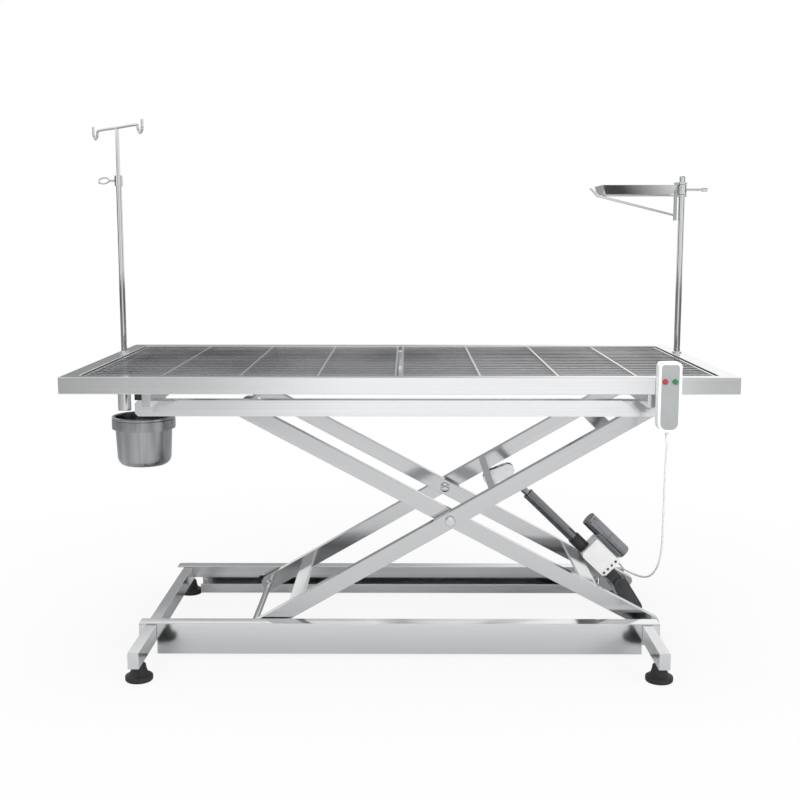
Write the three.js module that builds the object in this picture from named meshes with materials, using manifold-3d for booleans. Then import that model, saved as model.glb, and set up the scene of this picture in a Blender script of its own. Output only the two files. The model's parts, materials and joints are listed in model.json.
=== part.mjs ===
import * as THREE from "three";
import { mergeVertices } from "three/addons/utils/BufferGeometryUtils.js";
import Module from "manifold-3d";

const wasm = await Module();
wasm.setup();

// Veterinary exam table with a scissor lift. Millimetres, +X to the right end, +Y to the back, +Z up.
// Before the last shift the middle of the table top is at X 0, Y 0 and the floor at Z 0.

const DEG = Math.PI / 180;

// Table top
const TOP_LENGTH = 1200;
const TOP_WIDTH = 610;
const RIM_WIDTH = 30;
const RIM_HEIGHT = 30;
const RIM_WALL = 2.5;
const LEDGE_WIDTH = 10;
const LEDGE_THICK = 3;
const LEDGE_DROP = 11;
const PAN_WALL = 2;
const DRAIN_INSET = 39;
const DRAIN_Y = -106;
const DRAIN_PIPE_R = 12.5;
const DRAIN_BORE_R = 10.5;
const DRAIN_LENGTH = 58;

// Rod grates
const GRATE_ROD = 5;
const GRATE_RODS = 20;
const GRATE_CROSS = 4;
const GRATE_BAYS = 4;
const GRATE_GAP = 4;
const GRATE_WELD = 0.5;
const GRATE_CROSS_PROUD = 0.6;

// Scissor lift, drawn at the height it stands at
const PIVOT_X = 480;
const HALF_ARM = 442.3;
const REST_ANGLE = 29.9 * DEG;
const ARM_DEPTH = 30;
const ARM_WIDTH = 20;
const ARM_GAP = 3;
const ARM_OVERRUN = 16;
const ARM_CHAMFER = 6;
const OUTER_SKEW = 0 * DEG;
const INNER_SKEW = -1.8 * DEG;
const SHAFT_R = 10;
const AXLE_R = 6;
const RUN_CLEAR = 0.05;
const BOLT_HEAD_R = 10;
const BOLT_HEAD = 5;
const BOLT_NUT = 6;
const BASE_BOSS_R = 20;
const END_BOSS_R = 15;
const ROLLER_CLEAR = 0.3;
const ROLLER_INSET = 3;

// Cross plates between the arms, placed along the arm from the middle bolt
const PLATE_THICK = 6;
const LOW_PLATE_S = -345;
const LOW_PLATE_WIDTH = 34;
const HIGH_PLATE_S = 344;
const HIGH_PLATE_WIDTH = 30;
const INNER_PLATE_S = 318;
const INNER_PLATE_WIDTH = 40;
const CLEVIS_BAR_S = 100;
const CLEVIS_BAR_THICK = 14;
const CLEVIS_BAR_DEPTH = 30;

// Rails with inward lips
const RAIL_WALL = 2.5;
const BASE_RAIL_HEIGHT = 60;
const BASE_RAIL_DEPTH = 30;
const BASE_RAIL_CLEAR = 8.5;
const BASE_RAIL_INNER_Y = 177;
const FLANGE_OVERHANG = 14;
const BASE_SLOT = 19;
const ARM_TO_RAIL = 5;
const UPPER_RAIL_HEIGHT = 30;
const UPPER_RAIL_DEPTH = 26;
const UPPER_RAIL_GAP = 2;
const UPPER_RAIL_LEFT = -490;
const UPPER_RAIL_RIGHT = 494;
const UPPER_SLOT = 14;
const UPPER_CHAMFER = 6;

// Base cross tubes and feet
const TUBE_X = 470;
const TUBE_WIDTH = 20;
const TUBE_HEIGHT = 30;
const TUBE_WALL = 2;
const TUBE_FRONT = 361;
const TUBE_BACK = 216;
const PIVOT_PLATE_THICK = 6;
const PIVOT_PLATE_LEFT = 40;
const PIVOT_PLATE_RIGHT = 14;
const PIVOT_PLATE_DROP = 22;
const FOOT_R = 25;
const FOOT_TOP_R = 13;
const FOOT_FRONT_Y = -318;
const FOOT_BACK_Y = 203;
const FOOT_GAP = 5;
const STEM_R = 5;
const STEM_RISE = 12;
const FOOT_CLEAR = 2;

// Beams that carry the top on the upper rails
const BEAM_X = 448.5;
const BEAM_WIDTH = 16;
const BEAM_HEIGHT = 25.5;
const BEAM_REACH = 290;
const TAB_THICK = 3;
const TAB_DROP = 22;
const GUSSET_LENGTH = 30;
const GUSSET_DROP = 18;
const BLOCK_LENGTH = 31;

// Linear actuator
const ACT_REAR_DX = -26;
const ACT_REAR_DZ = 49.5;
const ACT_FRONT_S = 139.2;
const ACT_FRONT_T = -4.8;
const ACT_AIM_DROP = 1.1148 * DEG;
const ACT_REACH_EXTRA = 2.523;
const ACT_PIN_R = 5;
const ACT_EYE_R = 12;
const ACT_EYE_WIDTH = 22;
const ACT_EAR_THICK = 6;
const ACT_EAR_CLEAR = 1;
const ACT_EAR_R = 14;
const ACT_TUBE_R = 11;
const ACT_TUBE_BACK = 96;
const ACT_TUBE_FRONT = 269;
const ACT_BORE_R = 7.4;
const ACT_BORE_BACK = 128;
const ACT_ROD_R = 7;
const ACT_ROD_BACK = 188;
const ACT_SLEEVE_R = 13;
const ACT_SLEEVE_FRONT = 140;
const ACT_HOUSE_BACK = 38;
const ACT_HOUSE_FRONT = 105;
const ACT_HOUSE_LOW = -14;
const ACT_HOUSE_HIGH = 33;
const ACT_HOUSE_WIDTH = 46;
const ACT_HOUSE_BEVEL = 6;
const MOTOR_N = 49;
const MOTOR_R = 15;
const MOTOR_BACK = 38;
const MOTOR_FRONT = 144;
const MOTOR_SEAM = 87;
const MOTOR_GROOVE = 1;
const ROD_EYE_R = 15;
const ROD_EYE_WIDTH = 11;
const ROD_PIN_R = 4;
const ROD_EYE_PLAY = 7.4;
const ROD_EAR_THICK = 5;
const ROD_EAR_R = 13;

// Pail and its ring
const PAIL_INSET = 75;
const PAIL_Y = -106;
const PAIL_RIM_R = 60.5;
const PAIL_R = 55;
const PAIL_FOOT_R = 49;
const PAIL_WALL = 1.5;
const PAIL_HEIGHT = 96;
const PAIL_BEAD = 6;
const PAIL_RIM_DROP = 68;
const RING_HEIGHT = 18;
const RING_CLEAR = 1;
const STRAP_WIDTH = 30;
const STRAP_THICK = 3;
const STRAP_DX = 16;

// Drip pole
const POLE_INSET = 15;
const POLE_Y = 130;
const IV_TUBE_R = 6;
const IV_TUBE_LENGTH = 347;
const IV_BORE_R = 4.4;
const IV_BORE_FLOOR = 40;
const IV_COLLAR_R = 9;
const IV_COLLAR_HEIGHT = 22;
const IV_ROD_R = 4;
const IV_ROD_SHOWN = 97;
const IV_ROD_INSIDE = 120;
const HOOK_R = 3;
const HOOK_TURN = 51.7 * DEG;
const HOOK_REACH = 97;
const HOOK_WIDTH = 20;
const HOOK_DROP = 10;
const HOOK_TIP = 9;
const SCREW_R = 2.5;
const SCREW_CLEAR = 0.1;
const SCREW_LENGTH = 11;
const RING_MAJOR = 10.6;
const RING_LEAN = 36 * DEG;
const RING_MINOR = 1.8;

// Instrument tray stand
const STAND_R = 6.5;
const STAND_LENGTH = 367;
const CLAMP_R = 10;
const CLAMP_DROP = 38;
const CLAMP_HEIGHT = 21;
const KNOB_STEM_END = 40;
const KNOB_R = 4;
const KNOB_END = 52.9;
const LUG_R = 10.5;
const LUG_HEIGHT = 4;
const LUG_GAP = 0.5;
const ARM_PLATE_NEAR = 10;
const ARM_PLATE_THICK = 5;
const ARM_PLATE_WIDTH = 12;
const ARM_PLATE_DROP = 48;
const TRAY_BAR_THICK = 3;
const TRAY_BAR_WIDTH = 24;
const TRAY_BAR_REACH = 163;
const STRUT_WIDTH = 10;
const STRUT_THICK = 4;
const STRUT_LOW_RISE = 8;
const STRUT_TIP_REACH = 192;
const STRUT_TIP_RISE = 14;
const TRAY_NEAR = 23;
const TRAY_LENGTH = 150;
const TRAY_DEPTH = 110;
const TRAY_HEIGHT = 19;
const TRAY_WALL = 1.5;
const TRAY_FLARE = 6;

// Hand pendant
const PENDANT_X = 470.5;
const PENDANT_WIDTH = 40;
const PENDANT_HEIGHT = 123;
const PENDANT_RISE = 30;
const PENDANT_THICK = 23.8;
const PENDANT_TOP_ROUND = 8;
const PENDANT_FOOT_ROUND = 16;
const PENDANT_BEZEL = 4.5;
const FACE_THICK = 1.2;
const FACE_CLEAR = 0.2;
const BUTTON_R = 4.5;
const BUTTON_CLEAR = 0.3;
const BUTTON_DX = 8.7;
const BUTTON_DROP = 34;
const BUTTON_DEPTH = 7;
const BUTTON_PROUD = 3;
const BUTTON_PLAY = 3;
const HOLDER_WIDTH = 20;
const HOLDER_THICK = 2;
const HOLDER_LIP = 4;
const HOLDER_LIP_WIDTH = 12;
const HOLDER_LIP_HEIGHT = 6;
const HOLDER_CLEAR = 0.2;
const HOLDER_SLOT = 46;
const CORD_R = 1.8;
const CORD_GAP = 0.3;
const CORD_END_GAP = 0.9;
const CORD_BEND = 10;
const RELIEF_LENGTH = 18;
const RELIEF_TOP_R = 4.5;
const RELIEF_WALL = 0.9;

// Levels and rows that follow from the sizes above
const BASE_AXIS_Z = BASE_RAIL_CLEAR + BASE_RAIL_HEIGHT / 2;
const TOP_AXIS_Z = BASE_AXIS_Z + 2 * HALF_ARM * Math.sin(REST_ANGLE);
const MID_X = PIVOT_X - HALF_ARM * Math.cos(REST_ANGLE);
const MID_Z = (BASE_AXIS_Z + TOP_AXIS_Z) / 2;
const ROLL_X = PIVOT_X - 2 * HALF_ARM * Math.cos(REST_ANGLE);
const BASE_RAIL_TOP = BASE_RAIL_CLEAR + BASE_RAIL_HEIGHT;
const BASE_RAIL_OUTER_Y = BASE_RAIL_INNER_Y + BASE_RAIL_DEPTH;
const TUBE_TOP = BASE_RAIL_TOP - RAIL_WALL;
const TUBE_BOTTOM = TUBE_TOP - TUBE_HEIGHT;
const TUBE_NEAR_X = TUBE_X - TUBE_WIDTH / 2;
const TUBE_FAR_X = TUBE_X + TUBE_WIDTH / 2;
const OUTER_ARM_OUT = BASE_RAIL_INNER_Y - ARM_TO_RAIL;
const OUTER_ARM_IN = OUTER_ARM_OUT - ARM_WIDTH;
const INNER_ARM_OUT = OUTER_ARM_IN - ARM_GAP;
const INNER_ARM_IN = INNER_ARM_OUT - ARM_WIDTH;
const UPPER_RAIL_IN = OUTER_ARM_OUT + UPPER_RAIL_GAP;
const UPPER_RAIL_OUT = UPPER_RAIL_IN + UPPER_RAIL_DEPTH;
const UPPER_RAIL_BOTTOM = TOP_AXIS_Z - UPPER_RAIL_HEIGHT / 2;
const UPPER_RAIL_TOP = TOP_AXIS_Z + UPPER_RAIL_HEIGHT / 2;
const RIM_BOTTOM = UPPER_RAIL_TOP + BEAM_HEIGHT;
const TOP_Z = RIM_BOTTOM + RIM_HEIGHT;
const WELL_X = TOP_LENGTH / 2 - RIM_WIDTH;
const WELL_Y = TOP_WIDTH / 2 - RIM_WIDTH;
const LEDGE_TOP = TOP_Z - LEDGE_DROP;
const LEDGE_BOTTOM = LEDGE_TOP - LEDGE_THICK;
const DRAIN_X = DRAIN_INSET - WELL_X;
const PAIL_X = PAIL_INSET - WELL_X;
const BASE_FLANGE_HALF = TUBE_FAR_X + FLANGE_OVERHANG;
const FRAME_SHIFT_Y = (TUBE_FRONT - TOP_WIDTH / 2) / 2;
const FRAME_SHIFT_X = 11.325;

// Solids
function solidFrom(geometry) {
  const loose = geometry.index ? geometry.toNonIndexed() : geometry;
  const bare = new THREE.BufferGeometry();
  bare.setAttribute("position", loose.getAttribute("position"));
  const merged = mergeVertices(bare, 1e-4);
  const index = merged.index.array;
  const kept = [];
  for (let i = 0; i < index.length; i += 3) {
    const [a, b, c] = [index[i], index[i + 1], index[i + 2]];
    if (a !== b && b !== c && c !== a) kept.push(a, b, c);
  }
  return new wasm.Manifold(
    new wasm.Mesh({
      numProp: 3,
      vertProperties: merged.attributes.position.array,
      triVerts: new Uint32Array(kept),
    }),
  );
}

function geometryFrom(solid) {
  const mesh = solid.getMesh();
  const step = mesh.numProp;
  const flat = new Float32Array(mesh.numVert * 3);
  for (let i = 0; i < mesh.numVert; i++) {
    flat.set(mesh.vertProperties.subarray(i * step, i * step + 3), i * 3);
  }
  const geometry = new THREE.BufferGeometry();
  geometry.setAttribute("position", new THREE.BufferAttribute(flat, 3));
  geometry.setIndex(new THREE.BufferAttribute(new Uint32Array(mesh.triVerts), 1));
  return geometry;
}

function box(x0, x1, y0, y1, z0, z1) {
  const geometry = new THREE.BoxGeometry(x1 - x0, y1 - y0, z1 - z0);
  geometry.translate((x0 + x1) / 2, (y0 + y1) / 2, (z0 + z1) / 2);
  return solidFrom(geometry);
}

function rodX(r, x0, x1, y, z, sides = 20) {
  const geometry = new THREE.CylinderGeometry(r, r, x1 - x0, sides);
  geometry.rotateZ(Math.PI / 2);
  geometry.translate((x0 + x1) / 2, y, z);
  return solidFrom(geometry);
}

function rodY(r, y0, y1, x, z, sides = 16) {
  const geometry = new THREE.CylinderGeometry(r, r, y1 - y0, sides);
  geometry.translate(x, (y0 + y1) / 2, z);
  return solidFrom(geometry);
}

function rodZ(r, z0, z1, x, y, sides = 16) {
  const geometry = new THREE.CylinderGeometry(r, r, z1 - z0, sides);
  geometry.rotateX(Math.PI / 2);
  geometry.translate(x, y, (z0 + z1) / 2);
  return solidFrom(geometry);
}

// Corner radius of a faceted hole whose flats clear a shaft of radius r.
function boreR(r, clear, sides = 16) {
  return (r + clear) / Math.cos(Math.PI / sides);
}

// Flat plate: outline points in X and Z, thick from y0 to y1.
function plateXZ(points, y0, y1) {
  const shape = new THREE.Shape(points.map(([x, z]) => new THREE.Vector2(x, z)));
  const geometry = new THREE.ExtrudeGeometry(shape, { depth: y1 - y0, bevelEnabled: false });
  geometry.rotateX(Math.PI / 2);
  geometry.translate(0, y1, 0);
  return solidFrom(geometry);
}

function lathe(profile, x, y, sides = 28) {
  const points = profile.map(([r, z]) => new THREE.Vector2(r, z));
  const geometry = new THREE.LatheGeometry(points, sides);
  geometry.rotateX(Math.PI / 2);
  geometry.translate(x, y, 0);
  return solidFrom(geometry);
}

function sweep(points, r, steps, sides = 8) {
  const curve = new THREE.CatmullRomCurve3(
    points.map((p) => new THREE.Vector3(...p)),
    false,
    "centripetal",
  );
  const ring = new THREE.Shape();
  for (let i = 0; i < sides; i++) {
    const a = (2 * Math.PI * i) / sides;
    if (i === 0) ring.moveTo(r * Math.cos(a), r * Math.sin(a));
    else ring.lineTo(r * Math.cos(a), r * Math.sin(a));
  }
  const geometry = new THREE.ExtrudeGeometry(ring, {
    steps,
    bevelEnabled: false,
    extrudePath: curve,
  });
  return solidFrom(geometry);
}

// A lid-less box with sloping walls: a lower and an upper rectangle.
function frustum(x0, x1, y0, y1, z0, z1, flare) {
  const geometry = new THREE.BoxGeometry(1, 1, 1);
  const position = geometry.getAttribute("position");
  for (let i = 0; i < position.count; i++) {
    const upper = position.getZ(i) > 0;
    const grow = upper ? flare : 0;
    position.setXYZ(
      i,
      position.getX(i) > 0 ? x1 + grow : x0 - grow,
      position.getY(i) > 0 ? y1 + grow : y0 - grow,
      upper ? z1 : z0,
    );
  }
  return solidFrom(geometry);
}

function join(...solids) {
  return solids.reduce((all, next) => all.add(next));
}

const group = new THREE.Group();
const LOOKS = {
  steel: new THREE.MeshStandardMaterial({ color: 0xc4c6c8, metalness: 0.8, roughness: 0.3 }),
  dark: new THREE.MeshStandardMaterial({ color: 0x2a2b2d, roughness: 0.7 }),
  grey: new THREE.MeshStandardMaterial({ color: 0x8f9194, roughness: 0.6 }),
  white: new THREE.MeshStandardMaterial({ color: 0xf2f2f0, roughness: 0.5 }),
  red: new THREE.MeshStandardMaterial({ color: 0xa02030, roughness: 0.5 }),
  green: new THREE.MeshStandardMaterial({ color: 0x1f6a3a, roughness: 0.5 }),
};

function node(name, look, solid) {
  const mesh = new THREE.Mesh(geometryFrom(solid), LOOKS[look]);
  mesh.name = name;
  group.add(mesh);
}

// Base rails: a channel along X that opens inwards, with a longer top flange over the cross tubes.
function baseRail(side, notched) {
  const yIn = side * BASE_RAIL_INNER_Y;
  const yOut = side * BASE_RAIL_OUTER_Y;
  const lo = Math.min(yIn, yOut);
  const hi = Math.max(yIn, yOut);
  const inside = side > 0 ? [lo + RAIL_WALL, hi - RAIL_WALL] : [lo + RAIL_WALL, hi - RAIL_WALL];
  const mouth = side > 0 ? [lo - 1, lo + RAIL_WALL + 1] : [hi - RAIL_WALL - 1, hi + 1];
  let rail = box(-TUBE_NEAR_X, TUBE_NEAR_X, lo, hi, BASE_RAIL_CLEAR, BASE_RAIL_TOP);
  rail = rail.subtract(
    box(
      -TUBE_NEAR_X - 1,
      TUBE_NEAR_X + 1,
      inside[0],
      inside[1],
      BASE_RAIL_CLEAR + RAIL_WALL,
      TUBE_TOP,
    ),
  );
  rail = rail.subtract(
    box(
      -TUBE_NEAR_X - 1,
      TUBE_NEAR_X + 1,
      mouth[0],
      mouth[1],
      BASE_AXIS_Z - BASE_SLOT / 2,
      BASE_AXIS_Z + BASE_SLOT / 2,
    ),
  );
  if (notched) {
    const cut = FOOT_R + FOOT_CLEAR + (TUBE_NEAR_X - TUBE_X);
    for (const end of [-1, 1]) {
      const a = end * (TUBE_NEAR_X - cut);
      const b = end * (TUBE_NEAR_X + 1);
      rail = rail.subtract(
        box(Math.min(a, b), Math.max(a, b), lo - 1, hi + 1, 0, TUBE_BOTTOM),
      );
    }
  }
  return rail.add(box(-BASE_FLANGE_HALF, BASE_FLANGE_HALF, lo, hi, TUBE_TOP, BASE_RAIL_TOP));
}

node("base_rail_front", "steel", baseRail(-1, false));
node("base_rail_back", "steel", baseRail(1, true));

function crossTube(x0, y0, y1, openAt, feet) {
  const x1 = x0 + TUBE_WIDTH;
  let tube = box(x0, x1, y0, y1, TUBE_BOTTOM, TUBE_TOP);
  const inner0 = openAt < 0 ? y0 - 1 : y0 + TUBE_WALL;
  const inner1 = openAt > 0 ? y1 + 1 : y1 - TUBE_WALL;
  tube = tube.subtract(
    box(
      x0 + TUBE_WALL,
      x1 - TUBE_WALL,
      inner0,
      inner1,
      TUBE_BOTTOM + TUBE_WALL,
      TUBE_TOP - TUBE_WALL,
    ),
  );
  for (const y of feet) {
    tube = tube.subtract(
      rodZ(
        boreR(STEM_R, RUN_CLEAR, 16),
        TUBE_BOTTOM - 1,
        TUBE_BOTTOM + TUBE_WALL + 1,
        (x0 + x1) / 2,
        y,
        16,
      ),
    );
  }
  return tube;
}

node(
  "cross_tube_left",
  "steel",
  crossTube(-TUBE_FAR_X, -TUBE_FRONT, TUBE_BACK, 1, [FOOT_FRONT_Y, FOOT_BACK_Y]),
);

// On the right the tube stops at each rail and ends in a plate for the lower arm shaft.
function pivotPlate(side) {
  const yOut = side * BASE_RAIL_INNER_Y;
  const yIn = side * (BASE_RAIL_INNER_Y - PIVOT_PLATE_THICK);
  const plate = box(
    PIVOT_X - PIVOT_PLATE_LEFT,
    PIVOT_X + PIVOT_PLATE_RIGHT,
    Math.min(yIn, yOut),
    Math.max(yIn, yOut),
    BASE_AXIS_Z - PIVOT_PLATE_DROP,
    TUBE_TOP,
  );
  return plate.subtract(
    rodY(
      boreR(SHAFT_R, RUN_CLEAR),
      Math.min(yIn, yOut) - 1,
      Math.max(yIn, yOut) + 1,
      PIVOT_X,
      BASE_AXIS_Z,
    ),
  );
}

node(
  "cross_tube_right_front",
  "steel",
  join(
    crossTube(
      TUBE_NEAR_X,
      -TUBE_FRONT,
      -BASE_RAIL_INNER_Y,
      0,
      [FOOT_FRONT_Y],
    ),
    pivotPlate(-1),
  ),
);
node(
  "cross_tube_right_back",
  "steel",
  join(crossTube(TUBE_NEAR_X, BASE_RAIL_INNER_Y, TUBE_BACK, 1, [FOOT_BACK_Y]), pivotPlate(1)),
);

node(
  "base_shaft",
  "steel",
  rodY(SHAFT_R, -BASE_RAIL_INNER_Y, BASE_RAIL_INNER_Y, PIVOT_X, BASE_AXIS_Z),
);

// Levelling feet: a dished rubber pad on a threaded stem.
function foot(x, y) {
  const top = TUBE_BOTTOM - FOOT_GAP;
  return lathe(
    [
      [0, 0],
      [FOOT_R - 3, 0],
      [FOOT_R, top * 0.1],
      [FOOT_R, top * 0.32],
      [FOOT_R - 2, top * 0.45],
      [FOOT_TOP_R + 3, top * 0.86],
      [FOOT_TOP_R, top],
      [STEM_R, top],
      [STEM_R, TUBE_BOTTOM + STEM_RISE],
      [0, TUBE_BOTTOM + STEM_RISE],
    ],
    x,
    y,
    18,
  );
}

node("foot_front_left", "dark", foot(-TUBE_X, FOOT_FRONT_Y));
node("foot_front_right", "dark", foot(TUBE_X, FOOT_FRONT_Y));
node("foot_back_left", "dark", foot(-TUBE_X, FOOT_BACK_Y));
node("foot_back_right", "dark", foot(TUBE_X, FOOT_BACK_Y));

// A point along an arm: s from the middle bolt, t square to it.
function onArm(angle, s, t) {
  return [
    MID_X + s * Math.cos(angle) - t * Math.sin(angle),
    MID_Z + s * Math.sin(angle) + t * Math.cos(angle),
  ];
}

function armBar(angle, s0, s1, depth, chamfer) {
  const h = depth / 2;
  const outline = [
    [s0 + chamfer, -h],
    [s1 - chamfer, -h],
    [s1, -h + chamfer],
    [s1, h - chamfer],
    [s1 - chamfer, h],
    [s0 + chamfer, h],
    [s0, h - chamfer],
    [s0, -h + chamfer],
  ];
  return outline.map(([s, t]) => onArm(angle, s, t));
}

const OUTER_ANGLE = REST_ANGLE + OUTER_SKEW;
const INNER_ANGLE = Math.PI - REST_ANGLE - INNER_SKEW;
const ARM_END = HALF_ARM + ARM_OVERRUN;

// Two pivots at the arm's ends and the bolt in its middle, cut through bar and bosses.
function arm(angle, side, yIn, yOut, bosses, bores) {
  const y0 = Math.min(side * yIn, side * yOut);
  const y1 = Math.max(side * yIn, side * yOut);
  let solid = plateXZ(armBar(angle, -ARM_END, ARM_END, ARM_DEPTH, ARM_CHAMFER), y0, y1);
  for (const [x, z, r] of bosses) solid = solid.add(rodY(r, y0, y1, x, z, 20));
  for (const [x, z, r] of bores) {
    solid = solid.subtract(rodY(boreR(r, RUN_CLEAR), y0 - 1, y1 + 1, x, z));
  }
  return solid;
}

function outerArm(side) {
  return arm(
    OUTER_ANGLE,
    side,
    OUTER_ARM_IN,
    OUTER_ARM_OUT,
    [
      [PIVOT_X, TOP_AXIS_Z, END_BOSS_R],
      [ROLL_X, BASE_AXIS_Z, END_BOSS_R],
    ],
    [
      [PIVOT_X, TOP_AXIS_Z, AXLE_R],
      [ROLL_X, BASE_AXIS_Z, AXLE_R],
      [MID_X, MID_Z, AXLE_R],
    ],
  );
}

function innerArm(side) {
  return arm(
    INNER_ANGLE,
    side,
    INNER_ARM_IN,
    INNER_ARM_OUT,
    [
      [PIVOT_X, BASE_AXIS_Z, BASE_BOSS_R],
      [ROLL_X, TOP_AXIS_Z, END_BOSS_R],
    ],
    [
      [PIVOT_X, BASE_AXIS_Z, SHAFT_R],
      [ROLL_X, TOP_AXIS_Z, AXLE_R],
      [MID_X, MID_Z, AXLE_R],
    ],
  );
}

node("arm_inner_front", "steel", innerArm(-1));
node("arm_inner_back", "steel", innerArm(1));
node("arm_outer_front", "steel", outerArm(-1));
node("arm_outer_back", "steel", outerArm(1));

// A flat bar across between two arms.
function crossPlate(angle, s, width, reach) {
  const h = PLATE_THICK / 2;
  const outline = [
    [s - width / 2, -h],
    [s + width / 2, -h],
    [s + width / 2, h],
    [s - width / 2, h],
  ].map(([a, b]) => onArm(angle, a, b));
  return plateXZ(outline, -reach, reach);
}

node("outer_plate_low", "steel", crossPlate(OUTER_ANGLE, LOW_PLATE_S, LOW_PLATE_WIDTH, OUTER_ARM_IN));
node("outer_plate_high", "steel", crossPlate(OUTER_ANGLE, HIGH_PLATE_S, HIGH_PLATE_WIDTH, OUTER_ARM_IN));
node(
  "inner_plate",
  "steel",
  crossPlate(INNER_ANGLE, -INNER_PLATE_S, INNER_PLATE_WIDTH, INNER_ARM_IN),
);

// Middle bolts hold each pair of arms together.
function middleBolt(side) {
  const head0 = side * OUTER_ARM_OUT;
  const head1 = side * (OUTER_ARM_OUT + BOLT_HEAD);
  const nut0 = side * (INNER_ARM_IN - BOLT_NUT);
  const nut1 = side * INNER_ARM_IN;
  return join(
    rodY(AXLE_R, Math.min(nut1, head0) - 1, Math.max(nut1, head0) + 1, MID_X, MID_Z),
    rodY(BOLT_HEAD_R, Math.min(head0, head1), Math.max(head0, head1), MID_X, MID_Z, 6),
    rodY(BOLT_HEAD_R, Math.min(nut0, nut1), Math.max(nut0, nut1), MID_X, MID_Z, 6),
  );
}

node("middle_bolt_front", "steel", middleBolt(-1));
node("middle_bolt_back", "steel", middleBolt(1));

// Rollers and their axles
const LOW_ROLL_OUT = BASE_RAIL_OUTER_Y - RAIL_WALL - ROLLER_INSET;
const LOW_ROLL_IN = BASE_RAIL_INNER_Y + RAIL_WALL + ROLLER_INSET;
const LOW_ROLL_R = BASE_RAIL_HEIGHT / 2 - RAIL_WALL - ROLLER_CLEAR;
const HIGH_ROLL_OUT = UPPER_RAIL_OUT - RAIL_WALL - ROLLER_INSET;
const HIGH_ROLL_IN = UPPER_RAIL_IN + RAIL_WALL + ROLLER_INSET;
const HIGH_ROLL_R = UPPER_RAIL_HEIGHT / 2 - RAIL_WALL - ROLLER_CLEAR;

function roller(side, yIn, yOut, r, z) {
  const y0 = Math.min(side * yIn, side * yOut);
  const y1 = Math.max(side * yIn, side * yOut);
  return rodY(r, y0, y1, ROLL_X, z, 20).subtract(
    rodY(boreR(AXLE_R, RUN_CLEAR), y0 - 1, y1 + 1, ROLL_X, z),
  );
}

node("axle_low", "steel", rodY(AXLE_R, -LOW_ROLL_OUT, LOW_ROLL_OUT, ROLL_X, BASE_AXIS_Z));
node("axle_high", "steel", rodY(AXLE_R, -HIGH_ROLL_OUT, HIGH_ROLL_OUT, ROLL_X, TOP_AXIS_Z));
node("roller_low_front", "dark", roller(-1, LOW_ROLL_IN, LOW_ROLL_OUT, LOW_ROLL_R, BASE_AXIS_Z));
node("roller_low_back", "dark", roller(1, LOW_ROLL_IN, LOW_ROLL_OUT, LOW_ROLL_R, BASE_AXIS_Z));
node("roller_high_front", "dark", roller(-1, HIGH_ROLL_IN, HIGH_ROLL_OUT, HIGH_ROLL_R, TOP_AXIS_Z));
node("roller_high_back", "dark", roller(1, HIGH_ROLL_IN, HIGH_ROLL_OUT, HIGH_ROLL_R, TOP_AXIS_Z));

// Actuator: u runs from the rear pin towards the front pin, n square to it on the motor's side.
const REAR_X = PIVOT_X + ACT_REAR_DX;
const REAR_Z = BASE_AXIS_Z + ACT_REAR_DZ;
const [FRONT_X, FRONT_Z] = onArm(OUTER_ANGLE, ACT_FRONT_S, ACT_FRONT_T);
const ACT_REACH = Math.hypot(FRONT_X - REAR_X, FRONT_Z - REAR_Z) + ACT_REACH_EXTRA;
const ACT_ANGLE = Math.atan2(FRONT_Z - REAR_Z, REAR_X - FRONT_X) - ACT_AIM_DROP;

function placeActuator(solid) {
  const matrix = new THREE.Matrix4().makeBasis(
    new THREE.Vector3(-Math.cos(ACT_ANGLE), 0, Math.sin(ACT_ANGLE)),
    new THREE.Vector3(0, -1, 0),
    new THREE.Vector3(Math.sin(ACT_ANGLE), 0, Math.cos(ACT_ANGLE)),
  );
  matrix.setPosition(REAR_X, 0, REAR_Z);
  return solidFrom(geometryFrom(solid).applyMatrix4(matrix));
}

const HOUSE_HALF = ACT_HOUSE_WIDTH / 2;
const bevel = ACT_HOUSE_BEVEL;
const houseBlock = plateXZ(
  [
    [ACT_HOUSE_BACK + bevel, ACT_HOUSE_LOW],
    [ACT_HOUSE_FRONT - bevel, ACT_HOUSE_LOW],
    [ACT_HOUSE_FRONT, ACT_HOUSE_LOW + bevel],
    [ACT_HOUSE_FRONT, ACT_HOUSE_HIGH],
    [ACT_HOUSE_BACK, ACT_HOUSE_HIGH],
    [ACT_HOUSE_BACK, ACT_HOUSE_LOW + bevel],
  ],
  -HOUSE_HALF,
  HOUSE_HALF,
);
const tubeSocket = rodX(boreR(ACT_TUBE_R, RUN_CLEAR), ACT_TUBE_BACK, ACT_HOUSE_FRONT + 1, 0, 0, 16);
node("gear_housing", "white", placeActuator(houseBlock.subtract(tubeSocket)));

const motorSeam = rodX(MOTOR_R + 1, MOTOR_SEAM, MOTOR_SEAM + 2, 0, MOTOR_N, 20).subtract(
  rodX(MOTOR_R - MOTOR_GROOVE, MOTOR_SEAM - 1, MOTOR_SEAM + 3, 0, MOTOR_N, 20),
);
const motorFlat = box(
  MOTOR_BACK - 1,
  MOTOR_FRONT + 1,
  -MOTOR_R - 1,
  MOTOR_R + 1,
  ACT_HOUSE_HIGH - 10,
  ACT_HOUSE_HIGH + RUN_CLEAR,
);
node(
  "motor_can",
  "dark",
  placeActuator(
    rodX(MOTOR_R, MOTOR_BACK, MOTOR_FRONT, 0, MOTOR_N, 20)
      .subtract(motorSeam)
      .add(
        box(
          MOTOR_BACK + 8,
          ACT_HOUSE_FRONT - 8,
          -MOTOR_R * 0.7,
          MOTOR_R * 0.7,
          ACT_HOUSE_HIGH + RUN_CLEAR,
          MOTOR_N,
        ),
      )
      .subtract(motorFlat),
  ),
);

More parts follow.
